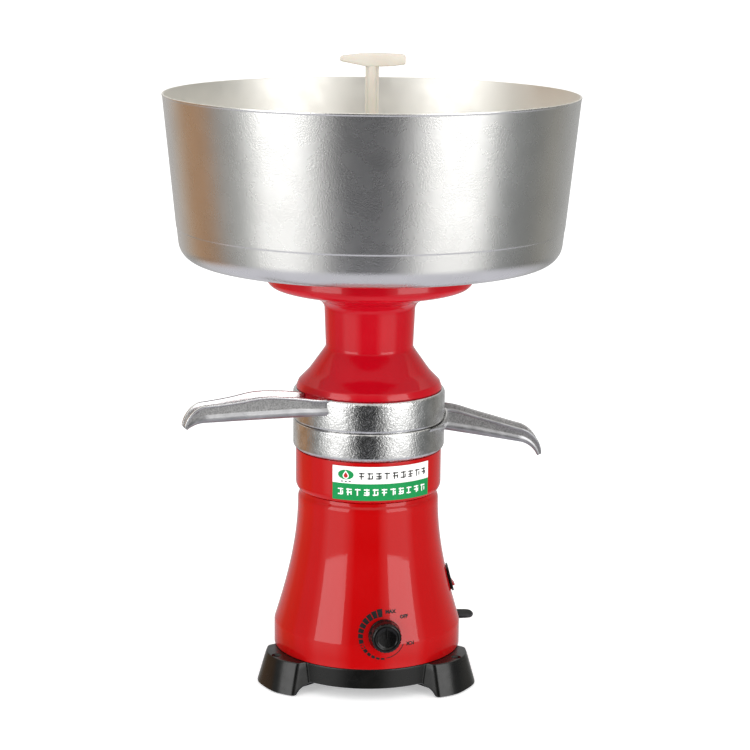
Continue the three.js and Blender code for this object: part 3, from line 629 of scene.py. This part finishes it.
def patch(name, outline, shape, material, lift, steps=10):
    """A thin print that follows a surface: outline points are (across, up), shape maps them. Its
    back lies a little under the paint."""
    sunk = -0.12
    work = bmesh.new()
    flat = [work.verts.new((u, v, 0)) for u, v in outline]
    work.faces.new(flat)
    low = min(u for u, v in outline)
    high = max(u for u, v in outline)
    for i in range(1, steps):
        at = blend(low, high, i / steps)
        geometry = work.verts[:] + work.edges[:] + work.faces[:]
        bmesh.ops.bisect_plane(work, geom=geometry, plane_co=(at, 0, 0), plane_no=(1, 0, 0))
    extruded = bmesh.ops.extrude_face_region(work, geom=work.faces[:])
    for vert in extruded["geom"]:
        if isinstance(vert, bmesh.types.BMVert):
            vert.co.z = lift
    bmesh.ops.recalc_face_normals(work, faces=work.faces)
    for vert in work.verts:
        vert.co = shape(vert.co.x, vert.co.y, vert.co.z if vert.co.z > 0 else sunk) * MM
    mesh = bpy.data.meshes.new(name)
    work.to_mesh(mesh)
    work.free()
    mesh.materials.append(material)
    return add(name, mesh)


# ---------- mains lead
def curve_through(points, steps):
    """Points along a smooth line through the given ones."""
    last = len(points) - 1
    line = [along_curve(points, i, step / steps) for i in range(last) for step in range(steps)]
    return [*line, points[last]]


def lead_route():
    """The lead: round behind the housing, then two layers of a flat coil, out over it to the plug."""
    route = [LEAD_START] + [Vector(point) for point in (
        (88, 73.8, 32.1), (95.3, 82.4, 29.2), (98.2, 91.9, 24.9), (97.3, 101.8, 20.8), (92.8, 110.6, 17.6),
        (85.3, 117.1, 14.8), (78.8, 122.9, 12.2), (75.2, 130, 9.9), (73.9, 138, 7.6), (73.6, 146, 5.4),
    )]
    inwards = (COIL_OUTER_R - COIL_INNER_R) / COIL_PITCH * 360
    climb = 180
    low = CORD_R + 0.2
    rise = 2.05 * CORD_R
    for degrees in range(0, COIL_TURNED + 1, 15):
        if degrees <= inwards:
            radius = COIL_OUTER_R - COIL_PITCH * degrees / 360
            z = low + 0.5 * (1 - smoothstep(-40, 30, degrees))
        elif degrees <= inwards + climb:
            t = (degrees - inwards) / climb
            radius = COIL_INNER_R - math.sin(math.pi * t)
            z = low + rise * smoothstep(0, 1, t)
        else:
            t = (degrees - inwards - climb) / (COIL_TURNED - inwards - climb)
            radius = blend(COIL_INNER_R, COIL_LAST_R, t)
            z = low + rise
        [at] = arc(*COIL_CENTRE, radius, [degrees])
        route.append(Vector((*at, z)))
    for t in (0.4, 0.4, 1.0):
        route.append(route[-1].lerp(PLUG_PLACE.translation, t))
    return curve_through(route, 5)


def make_lead(finish):
    data = bpy.data.curves.new("mains_lead", "CURVE")
    data.dimensions = "3D"
    data.bevel_depth = CORD_R * MM
    data.bevel_resolution = 5
    data.use_fill_caps = True
    route = lead_route()
    spline = data.splines.new("POLY")
    spline.points.add(len(route) - 1)
    for point, at in zip(spline.points, route):
        point.co = (*(at * MM), 1)
    spline.use_smooth = True
    data.materials.append(finish["rubber"])
    lead = add("mains_lead", data)
    settle(lead, "chassis", "cord", "power_cord", "cord_coil")
    return lead


def make_mains_plug(finish):
    boot = [(0, 0), (3.4, 0, 0.4)]
    for k in range(5):
        z = 2 + k * 3.6
        r = 3.9 + k * 0.32
        boot += [(r, z, 0.4), (r, z + 2.2, 0.4), (r - 0.7, z + 2.5, 0.3), (r - 0.7, z + 3.3, 0.3)]
    boot += [(5.6, 20, 0.5), (5.6, 22), (0, 22)]
    sleeve = revolve("sleeve", boot, 32, finish["rubber"], matrix=PLUG_PLACE)
    body = [
        (0, 19), (7.0, 19, 1), (8.8, 24, 3), (9.0, 34, 4), (12, 40, 4), (17, 46, 3), (17, 51.6, 0.8),
        (0, 51.6),
    ]
    flatten = PLUG_PLACE @ Matrix.Diagonal((1, 0.62, 1, 1))
    grip = revolve("grip", body, 48, finish["base_black"], matrix=flatten)
    pins = []
    for side in (-9.5, 9.5):
        outline = [(0, 50), (2.4, 50), (2.4, 71, 2.2), (0, 71)]
        place = PLUG_PLACE @ Matrix.Translation((side, 0, 0))
        pins.append(revolve("pin", outline, 24, finish["pin_metal"], matrix=place))
    plug = merge("mains_plug", sleeve, grip, *pins)
    settle(plug, "chassis", "black_plastic", "power_plug")
    return plug


def make_cord(finish):
    lead = make_lead(finish)
    plug = make_mains_plug(finish)


def make_gland(finish):
    flange = 1.7
    outline = [
        (0, -7.5), (7, -7.5), (7, -4.7), (5.1, -4.7), (5.1, flange), (7.2, flange, 0.3),
        (7.2, flange + 2.2, 0.8), (5.9, flange + 3, 0.5),
    ]
    for k in range(4):
        z = flange + 5 + k * 3.7
        r = 5.5 - k * 0.28
        outline += [(r, z, 0.4), (r - 0.9, z + 0.3, 0.3), (r - 0.9, z + 1.1, 0.3), (r - 0.1, z + 1.4, 0.4)]
    outline += [(4.3, flange + 21.6, 0.6), (3.2, flange + 22), (0, flange + 22)]
    gland = revolve("lead_gland", outline, 40, finish["rubber"], matrix=GLAND)
    settle(gland, "chassis", "rubber", "cable_gland")


# ---------- base
def lobe_radius(offset, outer, half):
    """How far a foot's outline is from the axis, at an angle from its own direction."""
    ray = Vector((abs(math.sin(offset)), math.cos(offset)))
    if ray.y <= 0.2:
        return 0.0
    across, along = FOOT_CHAMFER
    slant = Vector((along, across)).normalized()
    faces = (
        (Vector((0, 1)), outer), (slant, slant.dot((half - across, outer))), (Vector((1, 0)), half),
    )
    edge = 40
    return sum((normal.dot(ray) / reach) ** edge for normal, reach in faces) ** (-1 / edge)


def make_base(finish):
    """The three-footed base: its wall is a polar sheet whose lower edge arches between the feet."""
    columns = 1080
    foot_reach = 28.5
    arch = 8.0
    deck = BASE_TOP - 4
    hole = 32
    soft_corner = 1.4
    levels = (0, 0.035, 0.12, 0.28, 0.45, 0.62, 0.8, 0.93)
    points = []
    for column in range(columns):
        bearing = 360 * column / columns
        offset = min(((bearing - foot + 180) % 360 - 180 for foot in FOOT_BEARINGS), key=abs)
        swing = math.radians(offset)
        along = BASE_R * abs(swing)
        rise = min(1.0, max(0.0, (along - foot_reach) / arch))
        bottom = blend(FOOT_BOTTOM, BASE_BAND_BOTTOM, math.sqrt(1 - (1 - rise) ** 2))

        def wall(z):
            t = (z - FOOT_BOTTOM) / (BASE_TOP - FOOT_BOTTOM)
            lobe = lobe_radius(swing, blend(*FOOT_OUTER, t), blend(*FOOT_HALF, t))
            gap = lobe - BASE_R
            return BASE_R + (gap + math.sqrt(gap * gap + soft_corner)) / 2

        hollow = blend(60.0, min(wall(bottom) - 3.5, 96.0), smoothstep(16, 19, along))
        profile = [(hollow, bottom), (wall(bottom) - 0.7, bottom)]
        for level in levels:
            z = blend(bottom + 0.5, BASE_TOP - 1.4, level)
            profile.append((wall(z), z))
        rim = wall(BASE_TOP)
        profile += [
            (rim, BASE_TOP - 1.2), (rim - 0.2, BASE_TOP - 0.5), (rim - 0.7, BASE_TOP - 0.1),
            (rim - 1.3, BASE_TOP), (BASE_R - 4, BASE_TOP), (hole, BASE_TOP), (hole, deck),
            (min(hollow, rim - 3.5), deck),
        ]
        points += [around(r, bearing, z) for r, z in profile]
    faces = skin(len(points) // columns, columns, closed=True)
    base = mesh_piece("base_casting", points, faces, finish["base_black"], sharp=40)
    drills = []
    for bearing in FOOT_BEARINGS:
        place = Matrix.Translation(around(FOOT_HOLE_AT, bearing))
        drills.append(cylinder("drill", 2.6, -5, BASE_TOP + 5, 32, place))
        outline = [(0, BASE_TOP - 1.6), (3.0, BASE_TOP - 1.6), (5.0, BASE_TOP + 0.6), (0, BASE_TOP + 0.6)]
        drills.append(revolve("sink", outline, 32, matrix=place))
    carve(base, "DIFFERENCE", *drills, sharp=40)
    settle(base, "chassis", "black_plastic", "base")

    for i, bearing in enumerate(FOOT_BEARINGS):
        outline = [(0, 0), (12, 0, 0.8), (12, 3), (0, 3)]
        place = Matrix.Translation(around(PAD_AT, bearing))
        pad = revolve(f"pad_{i + 1}", outline, 48, finish["rubber"], matrix=place)
        settle(pad, "chassis", "rubber", f"foot_pad_{i + 1}")


# ---------- motor housing
def make_housing(finish):
    steps = 26
    wall = 3
    lid = HOUSING_TOP - 3.5
    heights = [blend(HOUSING_CREASE, HOUSING_SHOULDER, i / steps) for i in range(1, steps + 1)]
    bell = [(housing_radius(z), z) for z in heights]
    outline = [
        (HOUSING_BAND_R, HOUSING_BOTTOM, 0.7), (HOUSING_BAND_R, HOUSING_CREASE, 1.4), *bell,
        (62.8, 168.6, 1.2), (61.2, 171.2, 1.2), (60.9, HOUSING_TOP, 0.4), (12, HOUSING_TOP),
        (12, lid), (57, lid), *[(r - wall, z) for r, z in reversed(bell[::3])],
        (HOUSING_BAND_R - wall, HOUSING_BOTTOM),
    ]
    housing = revolve("housing_shell", outline, 192, finish["red_paint"])
    window = block("window", (-6.9, 6.9), (-10.6, 10.6), (-15, 10), matrix=SWITCH)
    spindle = cylinder("spindle", 4.2, -10, 10, 32, DIAL)
    passage = cylinder("passage", 5.6, -12, 10, 32, GLAND)
    carve(housing, "DIFFERENCE", window, spindle, passage)
    settle(housing, "chassis", "red_paint", "motor_housing")


def on_housing(across, up, lift):
    """A point by the dial, from its centre along and up the wall, lifted off the paint."""
    z = SCALE_HEIGHT + up * math.cos(math.radians(WALL_TILT))
    radius = housing_radius(z)
    return around(radius + lift, DIAL_BEARING + math.degrees(across / radius), z)


def make_dial(finish):
    """The printed scale, which shrinks anticlockwise from the top, its words and the knob."""
    prints = []
    count = 14
    inner = 18.4
    sweep = 184.0
    for i in range(count):
        t = i / (count - 1)
        start = 91 + sweep * i / count
        stop = start + sweep / count * blend(0.86, 0.72, t)
        outer = inner + blend(7.2, 1.7, t**0.85)
        angles = (start, (start + stop) / 2, stop)
        outline = arc(0, 0, outer, angles) + arc(0, 0, inner, reversed(angles))
        prints.append(patch("mark", outline, on_housing, finish["print_black"], PRINT_LIFT, 4))
    angles = range(276, 341, 4)
    outline = arc(0, 0, inner + 0.7, angles) + arc(0, 0, inner, reversed(angles))
    prints.append(patch("tail", outline, on_housing, finish["print_black"], PRINT_LIFT, 12))
    for word, across, up in (("MAX", 7.0, 22.6), ("OFF", 19.4, 17.2), ("MIN", 24.4, -6.8)):
        prints.append(written(word, across, up, 4.3, on_housing, finish["print_black"]))
    scale = merge("dial_print", *prints)
    settle(scale, "chassis", "knob_black")

    face = KNOB_FACE
    outline = [
        (0, 8.6), (3.4, 8.6), (3.4, 0.8), (KNOB_R, 0.8, 0.5), (KNOB_R, 3.2, 0.6), (KNOB_R - 0.5, 3.9, 0.5),
        (KNOB_R - 1.1, face - 2.3, 1.5), (KNOB_R - 2.9, face - 0.5, 1.5), (KNOB_R - 4.6, face - 0.3, 0.8),
        (KNOB_R - 6.4, face - 1.5, 1.6), (0, face - 2.2),
    ]
    knob = revolve("knob_cap", outline, 144, finish["knob_gloss"])
    for vert in knob.data.vertices:
        reach = math.hypot(vert.co.x, vert.co.y) / MM
        if reach > KNOB_R - 3 and 4.4 * MM < vert.co.z < (face - 1.6) * MM:
            flute = 0.35 * max(0.0, math.cos(24 * math.atan2(vert.co.x, vert.co.y)))
            vert.co.x *= 1 - flute / reach
            vert.co.y *= 1 - flute / reach
    pointer = block("pointer", (-0.7, 0.7), (0, KNOB_R - 3.4), (face - 3.4, face - 0.5),
                    finish["knob_gloss"], round_by=0.3)
    knob = merge("knob_piece", knob, pointer)
    knob.data.transform(in_metres(DIAL))
    soften(knob)
    settle(knob, "knob", "knob_black", "speed_knob")


def written(word, across, up, size, shape, material):
    """A word as a thin print on a surface."""
    data = bpy.data.curves.new("word", "FONT")
    data.body = word
    data.size = size
    data.offset = size * 0.06
    data.align_x = "CENTER"
    data.align_y = "CENTER"
    data.resolution_u = 2
    text = add("word", data)
    graph = bpy.context.evaluated_depsgraph_get()
    mesh = bpy.data.meshes.new_from_object(text.evaluated_get(graph))
    bpy.data.objects.remove(text)
    for vert in mesh.vertices:
        vert.co = shape(across + vert.co.x, up + vert.co.y, PRINT_LIFT) * MM
    mesh.materials.append(material)
    return add("word", mesh)


def make_switch(finish):
    width, tall = 7.5, 11.5
    bezel = block("bezel", (-width, width), (-tall, tall), (0.5, 2.3), finish["base_black"], round_by=0.7)
    barrel = block("barrel", (-6.4, 6.4), (-10.1, 10.1), (-16, 1), finish["base_black"])
    well = block("well", (-5.2, 5.2), (-9.3, 9.3), (-6, 5))
    frame_piece = carve(bezel, "UNION", barrel)
    frame_piece = carve(frame_piece, "DIFFERENCE", well)
    frame_piece.data.transform(in_metres(SWITCH))
    frame_piece.name = "switch_frame"
    settle(frame_piece, "chassis", "black_plastic", "switch_body")

    side = [
        (-8.2, 3), (-4, 2), (0, 1.5), (4, 2), (8.2, 3),
        (7.6, -2.2), (4, -4.2), (-4, -4.2), (-7.6, -2.2),
    ]
    stand = Matrix(((0, 0, 1, 0), (1, 0, 0, 0), (0, 1, 0, 0), (0, 0, 0, 1)))
    tilt = spin(-10, "X")
    place = SWITCH @ tilt @ stand
    rocker = prism("rocker_cap", side, -4.9, 4.9, finish["rocker_red"], round_by=0.5, matrix=place)
    settle(rocker, "rocker", "switch_red", "switch_rocker")


# ---------- drum chamber and label
def make_collar(finish):
    floor = COLLAR_BOTTOM + 3.2
    outline = [
        (9.4, COLLAR_BOTTOM), (61, COLLAR_BOTTOM, 0.8), (63.6, COLLAR_BOTTOM + 1.2, 1.4),
        (COLLAR_R, COLLAR_BOTTOM + 5, 2.4), (COLLAR_R, COLLAR_TOP, 0.5), (61.8, COLLAR_TOP, 0.5),
        (61.8, COLLAR_BOTTOM + 6, 2), (59.5, floor, 1), (9.4, floor),
    ]
    collar = revolve("collar_shell", outline, 192, finish["red_paint"])
    settle(collar, "chassis", "red_paint", "drum_chamber")


def on_label(across, up, lift):
    """A point of the label, from the middle of its lower edge along and up the collar."""
    return around(LABEL_R + lift, LABEL_BEARING + math.degrees(across / LABEL_R), LABEL_BOTTOM + up)


def box(x0, x1, y0, y1):
    return [(x0, y0), (x1, y0), (x1, y1), (x0, y1)]


def drop(x, y, size):
    """The outline of a drop of milk."""
    return [(x, y + 1.7 * size), *arc(x, y, size, [40 - k * 260 / 12 for k in range(13)])]


def sign(x, y, size, kind, material, lift):
    """One plain sign of the label: a few strokes that spell nothing."""
    thick = size * 0.17
    post = x + size * (0.16 + 0.1 * (kind % 3))
    strokes = [
        box(x, x + size * 0.8, y + size * 0.78, y + size * 0.78 + thick),
        box(post, post + thick, y, y + size),
    ]
    if kind % 2:
        strokes.append(box(x + size * 0.05, x + size * 0.75, y + size * 0.36, y + size * 0.36 + thick))
    if kind % 3 != 1:
        strokes.append(box(x + size * 0.62, x + size * 0.62 + thick, y + size * 0.1, y + size * 0.62))
    if kind % 4 > 1:
        strokes.append(box(x, x + size * 0.7, y + size * 0.04, y + size * 0.04 + thick))
    return [patch("stroke", stroke, on_label, material, lift, 2) for stroke in strokes]


def make_label(finish):
    """A two-coloured label with a badge and two rows of plain signs in place of any words."""
    half = math.radians(LABEL_SPAN / 2) * LABEL_R
    height = LABEL_TOP - LABEL_BOTTOM
    split = 15.2
    sheet = 0.34
    ink = 0.38
    badge_at = -half + 12.5
    white, green, black = (finish[name] for name in ("print_white", "print_green", "print_black"))
    badge = [
        (badge_at + 7.2 * math.cos(math.radians(a)), 23.0 + 4.4 * math.sin(math.radians(a)))
        for a in range(0, 360, 15)
    ]
    prints = [
        patch("paper", box(-half, half, split, height), on_label, white, sheet, 24),
        patch("field", box(-half, half, 0, split), on_label, green, sheet, 24),
        patch("badge", badge, on_label, green, ink, 6),
        patch("halo", drop(badge_at, 22.0, 2.8), on_label, white, ink + 0.03, 4),
        patch("drop", drop(badge_at, 22.0, 1.9), on_label, finish["print_red"], ink + 0.06, 4),
    ]
    for k in range(3):
        x = -half + 8.0 + 3.6 * k
        prints.append(patch("dash", box(x, x + 2.0, 16.4, 17.3), on_label, black, ink, 2))
    for k in range(9):
        prints += sign(-half + 24.2 + 7.5 * k, 19.2, 6.2, k * 5 + 1, black, ink)
    for k in range(11):
        prints += sign(-half + 5.3 + 7.8 * k, 4.6, 6.2, k * 7 + 2, white, ink)
    label = merge("label_sheet", *prints)
    settle(label, "chassis", "label", "label_plate")


# ---------- receivers
def trough_sections(spout):
    """Sections of an open trough with thick rims, a rounded bottom bead and a drooping beak. Its
    heading is from +X, its halves are half widths at the root, at the knee and at the tip, its
    heights are evenly spaced along it, and lead is how far it starts behind its root."""
    heading = math.radians(spout["heading"])
    ahead = Vector((math.cos(heading), math.sin(heading), 0))
    side = Vector((-ahead.y, ahead.x, 0))
    up = Vector((0, 0, 1))
    pitch = math.radians(spout["slope"])
    root = Vector((*spout["root"], spout["floor"]))
    heights = spout["heights"]
    halves = spout["halves"]
    sections = []

    def height_at(t):
        place = max(t, 0.0) * (len(heights) - 1)
        i = min(int(place), len(heights) - 2)
        return along_curve(heights, i, place - i)

    def station(at, angle, half, height):
        normal = ahead * math.sin(angle) + up * math.cos(angle)
        bead = min(4.8, height * 0.27)
        rim = min(2.2, height * 0.3)
        floor_half = max(0.6, half - bead - 0.8)
        right = [
            ((half - bead) * 0.6, 0.0), *arc(half - bead, bead, bead, [-90 + 22.5 * k for k in range(7)]),
            (half - 0.3 * bead, bead * 1.85), (half - 0.26 * bead, height - rim - 0.6),
            (half - 0.35, height - rim), (half, height - rim * 0.6), (half, height - 0.6),
            (half - 0.35, height - 0.15), (half - 0.9, height), (half - 2.2, height),
            (half - 2.9, height - 0.2), (half - 3.2, height - 0.7), (half - 3.2, bead * 1.3),
            (half - 3.8, bead * 0.8), (floor_half, 2.1), (floor_half * 0.5, 1.9),
        ]
        loop = right + [(-v, n) for v, n in reversed(right)]
        sections.append([at + side * v + normal * n for v, n in loop])

    straight, beak = 40, 12
    length = spout["length"]
    for i in range(straight + 1):
        t = blend(-spout["lead"] / length, 1.0, i / straight)
        at = root + ahead * (length * t) - up * (length * t * math.tan(pitch))
        flare = spout["flare"] * max(0.0, 1 - (t * length - spout["lands"]) / 9) ** 2
        station(at, pitch, blend(halves[0], halves[1], t) + min(flare, 12), height_at(t))
    knee = root + ahead * length - up * (length * math.tan(pitch))
    droop = math.radians(spout["droop"])
    radius = spout["beak_radius"]
    tip = heights[-1]
    for i in range(1, beak + 1):
        t = i / beak
        angle = pitch + droop * t
        run = radius * (math.sin(angle) - math.sin(pitch))
        fall = radius * (math.cos(pitch) - math.cos(angle))
        at = knee + ahead * run - up * fall
        station(at, angle, blend(halves[1], halves[2], t), tip - (tip - 4.2) * t**1.35)
    return sections


def make_spout(name, spout, cut_above, finish):
    """A spout whose side walls keep the casting's skin, with dressed rims and beads darkened by painted
    shade.
    """
    sections = trough_sections(spout)
    count = len(sections[0])

    def kind(i):
        """What a face is, by its place round a section: 0 dressed, 1 casting's skin, 2 darker, which on
        the beads is painted shade and which the skim spout's rims take too.
        """
        place = min(i, count - 2 - i)
        inside = spout["rough_inside"]
        if place in (7, 8, 9) or inside and place in (17, 18, 19):
            return 1
        return 2 if place < 7 or inside and 10 <= place < 17 else 0

    made = [finish[key] for key in ("cast_dressed", "cast_skin", "cast_bead_painted_shade")]
    piece = loft(name, sections, *made, sharp=50)
    kinds = [kind(i) for i in range(count)] * (len(sections) - 1)
    piece.data.polygons.foreach_set("material_index", [0, 0, *kinds])
    above_all = 400
    core = cylinder("core", RECEIVER_INNER_R + 0.2, 0, above_all, 128)
    cap = cylinder("cap", CREAM_R + 0.9, cut_above, above_all, 128)
    return carve(piece, "DIFFERENCE", core, cap, sharp=50)


def mouth(spout, z0, z1):
    half = spout["halves"][0] - 2.8
    heading = spin(spout["heading"], "Z")
    place = Matrix.Translation((*spout["root"], 0)) @ heading
    return block("mouth", (-14, 24), (-half, half), (z0, z1), matrix=place)


def saddle(name, first, last, tall, finish):
    """A cast flap that peels off the lower ring and climbs to the spout's side wall."""
    sections = []
    steps = 20
    for i in range(steps + 1):
        t = i / steps
        bearing = blend(first, last, t)
        rise = smoothstep(0, 1, t) ** 1.3
        top = blend(SKIM_TOP - 0.2, tall, rise)
        out = CREAM_R + 0.9 + blend(0.1, 1.9, t)
        foot = blend(SKIM_TOP - 3, 227, rise)
        profile = [
            (SKIM_R - 1.5, foot), (SKIM_R + 0.2, foot), (out, foot + 2.2), (out + 0.5 * t, top - 0.5),
            (out + 0.2 * t, top), (out - 0.4, top), (out - 1.0 - 0.5 * t, top - 0.3),
            (CREAM_R + 0.7, SKIM_TOP), (SKIM_R - 1.5, SKIM_TOP),
        ]
        sections.append([around(r, bearing, z) for r, z in profile])
    return loft(name, sections, finish["cast_turned"])


def make_stage(kind, outline, spout, opening, top, finish):
    """A receiver: a ring with an opening between two heights, and the spout in front of it."""
    ring = revolve(f"{kind}_ring", outline, 192, finish["cast_turned"])
    carve(ring, "DIFFERENCE", mouth(spout, *opening))
    piece = make_spout(f"{kind}_spout", spout, top, finish)
    settle(ring, f"{kind}_stage", "cast_aluminium", f"{kind}_receiver")
    settle(piece, f"{kind}_stage", "cast_aluminium")


def make_skim_receiver(finish):
    spout = {
        "root": (53.9, 26.3), "heading": 4, "floor": 225.4, "slope": 9.5, "lead": 9, "length": 82,
        "halves": (14, 13, 9), "heights": (19.6, 20.6, 18, 15.5, 13.1), "droop": 56,
        "beak_radius": 23.5, "flare": 1.5, "lands": 8, "rough_inside": True,
    }
    inner = RECEIVER_INNER_R
    floor = SKIM_FLOOR
    top = SKIM_TOP
    outline = [
        (41, floor - 2.5), (58.4, floor - 2.5), (58.4, 207.5, 0.4), (61.4, 207.5, 0.4), (61.4, 212),
        (64.9, 212, 1), (SKIM_R, 214.9, 1.6), (SKIM_R, top - 1.1, 0.7), (SKIM_R - 0.9, top, 0.4),
        (inner, top), (inner, floor, 2), (43.5, floor, 0.6), (43.5, floor + 8, 0.6), (41, floor + 8, 0.6),
    ]
    make_stage("skim", outline, spout, (floor + 0.6, 245), top, finish)
    for name, first, last in (("skim_flap_front", 52, 101.5), ("skim_flap_back", 172, 126)):
        settle(saddle(name, first, last, FLAP_TOP, finish), "skim_stage", "cast_aluminium")


def make_cream_receiver(finish):
    spout = {
        "root": (-48, -42.7), "heading": 203.1, "floor": 251.5, "slope": 0, "lead": 16, "length": 103,
        "halves": (18.5, 8.5, 4.8), "heights": (15.4, 18.9, 20.8, 17.9, 16.3), "droop": 36,
        "beak_radius": 26, "flare": 0.3, "lands": -2, "rough_inside": False,
    }
    inner = RECEIVER_INNER_R
    floor = CREAM_FLOOR
    top = CREAM_TOP
    outline = [
        (20, floor - 2.5), (60.8, floor - 2.5), (60.8, 233.5, 0.4), (64, 233.5, 0.4), (64, 238.15),
        (66.6, 238.15, 0.7), (CREAM_R, 240, 1.1), (CREAM_R, top - 2.6, 1.2), (CREAM_R - 1.5, top, 1),
        (inner, top, 0.5), (inner, floor, 2), (22, floor, 0.6), (22, floor + 5.5, 0.5),
        (20, floor + 5.5, 0.5),
    ]
    make_stage("cream", outline, spout, (floor + 0.3, 275), top, finish)


# ---------- float chamber, bowl and plug
def make_float_chamber(finish):
    wall = 2.5
    outline = [
        (4, 250, 0.5), (6, 250, 0.5), (6, 347.6, 1), (38, 347.6, 2), (37.1, 335, 4), (36.5, 304.5, 3),
        (57.0, 271, 3), (61.4, 260, 0.6), (63.9, 260, 0.6), (63.9, 266.6), (65.1, 266.6, 0.4),
        (64.9, 268.2, 0.6), (63.2, 272.6, 0.8), (54.3, 281.7, 4), (41.2, 300.2, 1.6), (NECK_R, 303.5, 2.0),
        (NECK_R + 1.5, 341, 3), (45.5, 346.6, 3.5), (65, 353.5, 8), (80, 356, 4), (88, 358.5, 5),
        (DISH_R, 363, 3.5), (DISH_R - 1.7, DISH_TOP, 0.8), (DISH_R - wall, DISH_TOP, 0.8),
        (DISH_R - wall, 364.4, 2), (86.6, 361.2, 2), (79.4, 358.6, 3), (64.6, 356, 3), (46, 352, 3),
        (4, 350),
    ]
    chamber = revolve("chamber_shell", outline, 192, finish["red_plastic"], sharp=50)
    settle(chamber, "float_stage", "red_plastic", "float_chamber")
    outline = [
        (0, 357.8), (70, 357.8, 2), (75.5, 360, 1.5), (75.5, 364.6, 1.2), (73, 366.4, 1.5), (16, 366.4, 2),
        (12, 364, 2), (0, 364),
    ]
    disc = revolve("float_disc", outline, 128, finish["ivory"])
    settle(disc, "float_body", "ivory_plastic", "float")


def make_bowl(finish):
    floor = BOWL_BOTTOM + BOWL_WALL
    centre = BOWL_BOTTOM + BOWL_CORNER_R
    outer = arc(BOWL_FLAT_R, centre, BOWL_CORNER_R, range(-90, -3, 6))
    inner = arc(BOWL_FLAT_R, centre, BOWL_CORNER_R - BOWL_WALL, range(-4, -91, -6))
    outline = [
        (8, 374, 0.3), (13, 374, 0.6), (13, BOWL_BOTTOM, 1), *outer,
        (170.65, 411.2, 0.3), (171.1, 412.4, 0.4),
        (BOWL_RIM_R - 0.2, BOWL_RIM - 2.2, 0.6), (BOWL_RIM_R + 0.3, BOWL_RIM - 1.4, 0.6),
        (BOWL_RIM_R + 0.3, BOWL_RIM, 0.7), (BOWL_RIM_R - BOWL_WALL, BOWL_RIM, 0.6),
        (171 - BOWL_WALL, 412, 1.5), *inner, (13, floor, 2), (8, floor + 1, 0.8),
    ]

    def side(centre, normal):
        outward = centre.x * normal.x + centre.y * normal.y
        return int(centre.z > floor - 0.2 and (outward < 0 or normal.z > 0.7))

    bowl = revolve("bowl_shell", outline, 256, finish["spun_skin"], finish["spun_inside"], choose=side)
    settle(bowl, "bowl", "spun_aluminium", "milk_bowl")


def make_plug(finish):
    ivory = finish["ivory"]
    outline = [
        (0, 374.6), (6.4, 374.6, 0.6), (7.4, 376, 0.8), (7.4, 388, 1), (4.25, PLUG_SHOULDER, 1),
        (4.25, PLUG_TOP), (0, PLUG_TOP),
    ]
    stem = revolve("stem", outline, 40, ivory)
    ribs = block("ribs", (-5.85, 5.85), (-1.3, 1.3), (PLUG_SHOULDER, PLUG_TOP), ivory, round_by=0.5)
    half = 29
    side = [
        (half, 553), (half, 560.4), (half - 2.5, 561.9), (6, 562.5), (-10, 562.1), (-half + 2.5, 560),
        (-half, 557.6), (-half + 1.5, 555.4), (-10, 552), (-5, 551), (5, 551), (16, 551.4),
    ]
    stand = spin(90, "X")
    grip = prism("grip", side, -4.5, 4.5, ivory, round_by=1.6, matrix=stand)
    plug = merge("plug_stem", stem, ribs, grip)
    soften(plug, 40)
    settle(plug, "plug", "ivory_plastic", "bowl_plug")


# ---------- carried over
def dress_cad_nodes(finish):
    """Every CAD node that is still shown takes its slot's finish, which mostly has the slot's name."""
    by_slot = {
        "cast_aluminium": "cast_turned", "spun_aluminium": "spun_skin", "black_plastic": "base_black",
        "knob_black": "knob_gloss", "ivory_plastic": "ivory", "label": "print_white",
        "switch_red": "rocker_red", "cord": "rubber",
    }
    slots = {part["node"]: part["material_slot"] for part in frame["record"]["subparts"]}
    for name, node in frame["nodes"].items():
        if not node.hide_render:
            node.data.materials.clear()
            node.data.materials.append(finish[by_slot.get(slots[name], slots[name])])


scene.view_settings.view_transform = "Standard"
make_camera()
make_world()
make_floor()
make_softbox("softbox_left", -48, 21)
make_softbox("softbox_right", 48, 21)
finishes = make_finishes()
for make in (
    make_cord, make_gland, make_base, make_housing, make_dial, make_switch, make_collar, make_label,
    make_skim_receiver, make_cream_receiver, make_float_chamber, make_bowl, make_plug, dress_cad_nodes,
):
    make(finishes)
